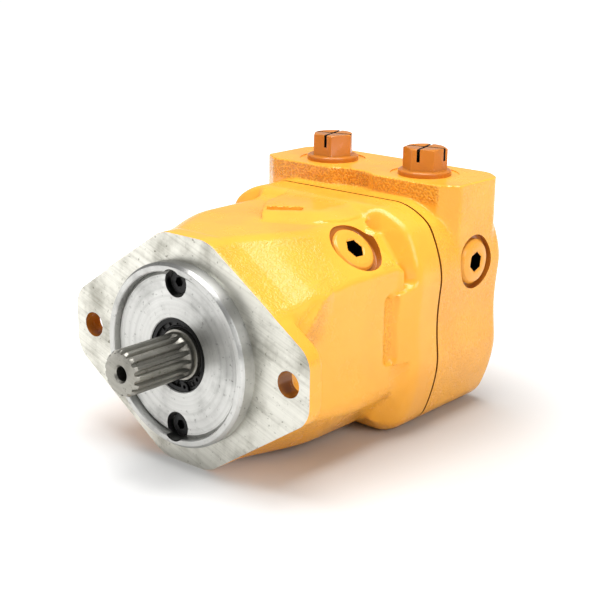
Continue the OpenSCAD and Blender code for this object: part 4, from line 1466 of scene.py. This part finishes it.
@dataclass
class SealEnd:
    """The seal carrier in the pilot, with its two screws, the shaft seal and its snap ring.

    Attributes:
        finishes: The pump's finishes.
        radius: Radius of the carrier.
        face: Place of its front face.
        bore: Radius of the seal's bore.
        screw_z: Distance of each screw from the axis.
        pocket: Radius of each screw's pocket.
        socket: Width of a screw's socket across flats.
        socket_turn: Angle of the sockets, in degrees.
        ring_gap: Angle of the snap ring's gap.
        lugs: Angles of the snap ring's lugs.
        lug_r: Distance of each lug from the axis.
        ribs: Ribs on the seal's face.
    """

    finishes: Finishes
    radius: float = 46.0
    face: float = -6.3
    bore: float = 20.4
    screw_z: float = 40.1
    pocket: float = 7.9
    socket: float = 5.023
    socket_turn: float = 12.0
    ring_gap: float = -56.0
    lugs: tuple = (-75.0, -37.0)
    lug_r: float = 17.6
    ribs: int = 18

    def carrier(self) -> Piece:
        """The turned carrier disc, with its screw pockets and the snap ring's groove."""
        f = self.finishes
        piece = turned("seal_plate", [
            (self.bore + 0.5, self.face), (self.radius - 2.0, self.face, 0.25), (self.radius - 0.05, self.face + 1.7),
            (self.radius - 0.05, 4.0), (32.0, 4.0), (32.0, 4.7), (29.6, 4.7), (29.6, 7.1), (31.95, 7.1), (31.95, 8.0),
            (17.5, 8.0), (17.5, 4.0), (self.bore, 4.0), (self.bore, self.face + 2.5),
            (self.bore + 1.1, self.face + 2.5), (self.bore + 1.1, self.face + 0.9),
            (self.bore, self.face + 0.9), (self.bore, self.face + 0.5)], 160, paint=f.turned_iron)
        pockets = [rod_tool(self.pocket, self.face - 3, 0.5, 0, side * self.screw_z, f.turned_iron, 96)
                   for side in (-1, 1)]
        holes = [rod_tool(4.5, 0, 6, 0, side * self.screw_z, f.turned_iron, 32) for side in (-1, 1)]
        carve(piece, [*pockets, *holes])
        smooth(piece, 30.0)
        return piece

    def screw(self, z: float) -> Piece:
        """A socket-head screw: round head with a hexagon socket, and its shank.

        Args:
            z: Height of its axis.

        Returns:
            The screw.
        """
        f = self.finishes
        piece = turned("screw", [(0.0, 18.0), (4.0, 18.0), (4.0, 0.5), (6.5, 0.5), (6.5, -3.6, 0.6), (0.0, -3.6)], 64,
                       paint=f.black_steel)
        carve(piece, [prism("tool", hexagon(self.socket, self.socket_turn), -9.0, -1.0, paint=f.black_steel)])
        return place(piece, move=(0.0, 0.0, z))

    def snap_ring(self) -> Piece:
        """The internal snap ring: a flat ring with a gap and two pierced lugs beside it."""
        f = self.finishes
        piece = turned("seal_snap_ring", [(17.9, self.face + 1.0, 0.1), (self.bore + 0.9, self.face + 1.0, 0.1),
                                          (self.bore + 0.9, self.face + 2.4, 0.1), (17.9, self.face + 2.4, 0.1)], 128,
                       paint=f.black_steel)
        carve(piece, [prism("tool", strip(self.ring_gap, 12.0, 30.0, 4.0), -9.0, 2.0, paint=f.black_steel)])
        low, high = self.face + 1.0, self.face + 2.4
        for degrees in self.lugs:
            spot = self.lug_r * unit(degrees)
            lug = place(turned("lug", [(0.0, low), (2.5, low, 0.2), (2.5, high, 0.2), (0.0, high)], 32,
                               paint=f.black_steel), move=(spot[0], 0.0, spot[1]))
            carve(piece, [lug], "UNION")
            carve(piece, [rod_tool(1.05, low - 1, high + 1, spot[0], spot[1], f.black_steel, 24)])
        smooth(piece, 30.0)
        return piece

    def seal(self) -> Piece:
        """The shaft seal: a metal-cased ring with a ribbed face, and its lip bearing on the collar."""
        f = self.finishes
        low = self.face + 2.6
        piece = turned("lip_seal", [
            (self.bore - 0.02, low, 0.3), (18.6, low, 0.4), (18.2, low + 1.0), (15.9, low + 1.4),
            (15.2, low + 0.7, 0.2), (14.2, low + 1.6, 0.1), (15.0, low + 6.4), (self.bore - 0.02, low + 6.4)], 128,
            paint=f.rubber)
        carve(piece, [prism("rib", strip(360.0 * k / self.ribs, 16.2, 18.1, 0.45), low + 0.2, low + 2.0, paint=f.rubber)
                      for k in range(self.ribs)], "UNION")
        smooth(piece, 30.0)
        return piece

    def build(self) -> None:
        """Builds and dresses the four parts."""
        finish_piece(self.carrier(), "casing", "machined_iron", "seal_carrier")
        screws = self.screw(self.screw_z)
        screws.name = "seal_plate_screws"
        carve(screws, [self.screw(-self.screw_z)], "UNION")
        smooth(screws, 30.0)
        finish_piece(screws, "casing", "black_steel", "seal_carrier_screws")
        finish_piece(self.snap_ring(), "casing", "black_steel", "seal_circlip")
        finish_piece(self.seal(), "casing", "black_rubber", "shaft_seal")


@dataclass
class Plugs:
    """The screw plugs: two with hexagon sockets, and two shipping plugs with slotted hexagon heads.

    Attributes:
        finishes: The pump's finishes.
        hex_af: Width of a shipping plug's hexagon across flats.
        port_plug_h: Height of a shipping plug above its spotface.
        port_x: Distance of each port from the middle.
        port_y: Place of the ports along the shaft.
        port_seat: Height of their spotfaces.
        drain_reach: Distance of the drain plug's seat from the axis.
        drain_y: Place of the drain plug along the shaft.
        side_seat: Middle of the side plug's seat.
    """

    finishes: Finishes
    hex_af: float = 23.0
    port_plug_h: float = 16.3
    port_x: float = 35.0
    port_y: float = 166.0
    port_seat: float = 78.4
    drain_reach: float = 70.9
    drain_y: float = 78.6
    side_seat: tuple = (70.1, 165.5, 31.7)

    def socket_plug(self, name: str, head_r: float, head_h: float, thread_r: float, depth: float, socket: float,
                    socket_turn: float) -> Piece:
        """A domed plug drawn with its seat at y = 0 and its head towards -Y.

        Args:
            name: The piece's name.
            head_r: Radius of the head.
            head_h: Its height.
            thread_r: Radius of the thread.
            depth: Length of the thread.
            socket: Width of the socket across flats.
            socket_turn: Its angle, in degrees.

        Returns:
            The plug.
        """
        f = self.finishes
        piece = turned(name, [
            (0.0, depth), (thread_r, depth, 0.8), (thread_r, 0.0), (head_r, 0.0, 0.3), (head_r, -0.45 * head_h, 0.5),
            (head_r - 0.35 * head_h, -0.85 * head_h, 1.2), (head_r - 1.1 * head_h, -head_h, 1.5),
            (socket * 0.62, -head_h, 0.3), (socket * 0.56, -head_h + 0.5), (0.0, -head_h + 0.5)], 96, steps=5,
            paint=f.head_paint)
        carve(piece, [prism("tool", hexagon(socket, socket_turn), -head_h - 2.0, -head_h + 7.0, paint=f.black_steel)])
        smooth(piece, 32.0)
        return piece

    def port_plug(self, name: str, x: float, y: float, seat: float, turn: float, slot_turn: float) -> Piece:
        """A shipping plug: round flange, chamfered hexagon and crossed slots, standing on the port's spotface.

        Args:
            name: The piece's name.
            x: Middle, across.
            y: Middle, along the shaft.
            seat: Height of the spotface.
            turn: The hexagon's angle, in degrees.
            slot_turn: The first slot's angle.

        Returns:
            The plug.
        """
        f = self.finishes
        top = seat + self.port_plug_h
        head = prism("head", hexagon(self.hex_af, turn), seat + 2.0, top, "z", f.plug_paint)
        up = about("X", 90.0)
        cone = turned("tool", [(0.0, seat), (15.0, seat), (15.0, top - 1.6), (11.4, top, 0.4), (0.0, top)], 96, steps=3,
                      paint=f.plug_paint)
        carve(head, [place(cone, up)], "INTERSECT")
        foot = turned(name, [(0.0, seat - 17.0), (13.3, seat - 17.0, 0.6), (13.3, seat - 0.1), (15.9, seat - 0.1, 0.2),
                             (15.9, seat + 2.6, 0.7), (14.6, seat + 3.3, 0.4), (0.0, seat + 3.3)], 96,
                      paint=f.plug_paint)
        place(foot, up)
        carve(foot, [head], "UNION")
        for degrees in (slot_turn, slot_turn + 90.0):
            slot = strip(degrees, -20.0, 20.0, 0.9)
            carve(foot, [prism("tool", slot, top - 7.5, top + 5.0, "z", f.black_steel)])
        place(foot, move=(x, y, 0.0))
        chamfer(foot, 0.25, 2, 40.0)
        smooth(foot, 30.0)
        return foot

    def build(self) -> None:
        """Builds, places and dresses the four plugs."""
        drain = self.socket_plug("drain_screw_plug", 13.4, 3.1, 8.8, 14.0, 10.3, 28.0)
        reach = self.drain_reach / math.sqrt(2.0)
        place(drain, about("Y", 45.0) @ about("X", -90.0), (reach, self.drain_y, reach))
        finish_piece(drain, "casing", "yellow_paint", "case_drain_plug")
        side = self.socket_plug("side_screw_plug", 13.4, 4.6, 6.9, 12.0, 10.4, 20.0)
        finish_piece(place(side, about("Z", 90.0), self.side_seat), "casing", "yellow_paint", "side_plug")
        for name, node, x, turn, slot_turn in (("left_port_plug", "port_plug_left", -self.port_x, 4.0, 15.0),
                                               ("right_port_plug", "port_plug_right", self.port_x, 28.0, 105.0)):
            plug = self.port_plug(name, x, self.port_y, self.port_seat, turn, slot_turn)
            finish_piece(plug, "casing", "yellow_paint", node)


# ----------------------------------------------------------------------------------------- stage


@dataclass
class Studio:
    """White floor, even white surroundings, soft lamps and the camera.

    Attributes:
        floor_z: Height of the floor.
        floor_half: Half width of the floor.
        target: The point that the camera looks at.
        azimuth: Bearing of the camera, in degrees from the front towards the right.
        elevation: Its height, in degrees.
        roll: Its roll, in degrees.
        distance: Its distance from the target.
        lens: Its focal length.
        glow_near: Distance from the pump at which the floor starts to glow.
        glow_far: Distance at which the first glow is full.
        sky: Brightness of the surroundings above the horizon.
    """

    floor_z: float = -64.0
    floor_half: float = 1300.0
    target: tuple = (79.9, 0.0, 45.7)
    azimuth: float = 40.17
    elevation: float = 16.65
    roll: float = 0.82
    distance: float = 638.0
    lens: float = 78.606
    glow_near: float = 60.0
    glow_far: float = 240.0
    sky: float = 0.35

    def floor(self) -> None:
        """A plain white floor, which glows towards its edges as a lit backdrop does."""
        material, tree, shader = start_material("studio_floor")
        spot = add(tree, "ShaderNodeTexCoord")
        away = add(tree, "ShaderNodeVectorMath", operation="DISTANCE")
        away.inputs[1].default_value = (0.02, 0.12, self.floor_z * MM)
        wire(tree, spot.outputs["Object"], away.inputs[0])
        near = ramp(tree, away.outputs["Value"], self.glow_near * MM, self.glow_far * MM, 0.0, 0.6)
        far = ramp(tree, away.outputs["Value"], self.glow_far * MM, 3.5 * self.glow_far * MM, 0.0, 0.5)
        wire(tree, maths(tree, "ADD", near, far), shader.inputs["Emission Color"])
        shader.inputs["Emission Strength"].default_value = 1.0
        shader.inputs["Base Color"].default_value = (0.58, 0.575, 0.565, 1.0)
        shader.inputs["Roughness"].default_value = 0.6
        shader.inputs["Specular IOR Level"].default_value = 0.1
        half, z = self.floor_half, self.floor_z - 0.02
        verts = np.array([[-half, -half, z], [half, -half, z], [half, half, z], [-half, half, z]])
        new_piece("studio_floor", verts, [[0, 1, 2, 3]], material)

    def surroundings(self) -> None:
        """A world that is white below the horizon, where it only fills the view past the floor, and softer above."""
        world = bpy.data.worlds.new("studio")
        bpy.context.scene.world = world
        world.use_nodes = True
        tree = world.node_tree
        tree.nodes.clear()
        way = add(tree, "ShaderNodeTexCoord")
        split = add(tree, "ShaderNodeSeparateXYZ")
        wire(tree, way.outputs["Generated"], split.inputs[0])
        share = ramp(tree, split.outputs[2], -0.04, 0.06)
        colour = blend_colour(tree, share, (1.03, 1.03, 1.03), (self.sky, self.sky, self.sky))
        background = add(tree, "ShaderNodeBackground", Strength=1.0)
        wire(tree, colour, background.inputs["Color"])
        out = add(tree, "ShaderNodeOutputWorld")
        wire(tree, background.outputs[0], out.inputs[0])

    def lamp(self, name: str, spot: Point, aim: Point, size: float, power: float) -> None:
        """A square area lamp at a spot, in millimetres, turned to an aim.

        Args:
            name: The lamp's name.
            spot: Its place.
            aim: The point it faces.
            size: Its side.
            power: Its power in watts.
        """
        data = bpy.data.lights.new(name, "AREA")
        data.shape = "SQUARE"
        data.size = size * MM
        data.energy = power
        lamp = bpy.data.objects.new(name, data)
        bpy.context.scene.collection.objects.link(lamp)
        lamp.location = Vector(spot) * MM
        lamp.rotation_euler = (Vector(aim) - Vector(spot)).to_track_quat("-Z", "Y").to_euler()

    def lamps(self) -> None:
        """A large key lamp above and right, and a weaker one high on the left."""
        self.lamp("key_lamp", (900.0, -50.0, 450.0), (0.0, 70.0, 0.0), 500.0, 3.5)
        self.lamp("top_lamp", (0.0, 50.0, 1150.0), (0.0, 50.0, 0.0), 900.0, 18.5)
        self.lamp("left_lamp", (-800.0, -560.0, 60.0), (-30.0, 0.0, 0.0), 320.0, 0.5)

    def camera(self) -> None:
        """Places the camera from its bearing, height, roll and distance to its target."""
        az, el, roll = (math.radians(v) for v in (self.azimuth, self.elevation, self.roll))
        back = Vector((math.sin(az) * math.cos(el), -math.cos(az) * math.cos(el), math.sin(el)))
        right = Vector((math.cos(az), math.sin(az), 0.0))
        up = back.cross(right)
        tilted_right = right * math.cos(roll) + up * math.sin(roll)
        tilted_up = up * math.cos(roll) - right * math.sin(roll)
        data = bpy.data.cameras.new("camera")
        data.sensor_width = 36.0
        data.lens = self.lens
        data.clip_end = 20.0
        camera = bpy.data.objects.new("camera", data)
        bpy.context.scene.collection.objects.link(camera)
        turn = Matrix((tilted_right, tilted_up, back)).transposed().to_4x4()
        camera.matrix_world = Matrix.Translation((Vector(self.target) + back * self.distance) * MM) @ turn
        bpy.context.scene.camera = camera

    def build(self) -> None:
        """Sets the whole stage."""
        self.floor()
        self.surroundings()
        self.lamps()
        self.camera()
        bpy.context.scene.view_settings.view_transform = "Standard"


def main() -> None:
    """Builds the pump's visible parts round the frame, in order."""
    logging.basicConfig(level=logging.INFO, format="%(name)s: %(message)s")
    Studio().build()
    finishes = Finishes()
    finishes.dress_frame()
    outline = CastOutline()
    FrontHousing(finishes, outline).build()
    EndCover(finishes, outline).build()
    DriveShaft(finishes).build()
    SealEnd(finishes).build()
    Plugs(finishes).build()


if __name__ == "__main__":
    main()
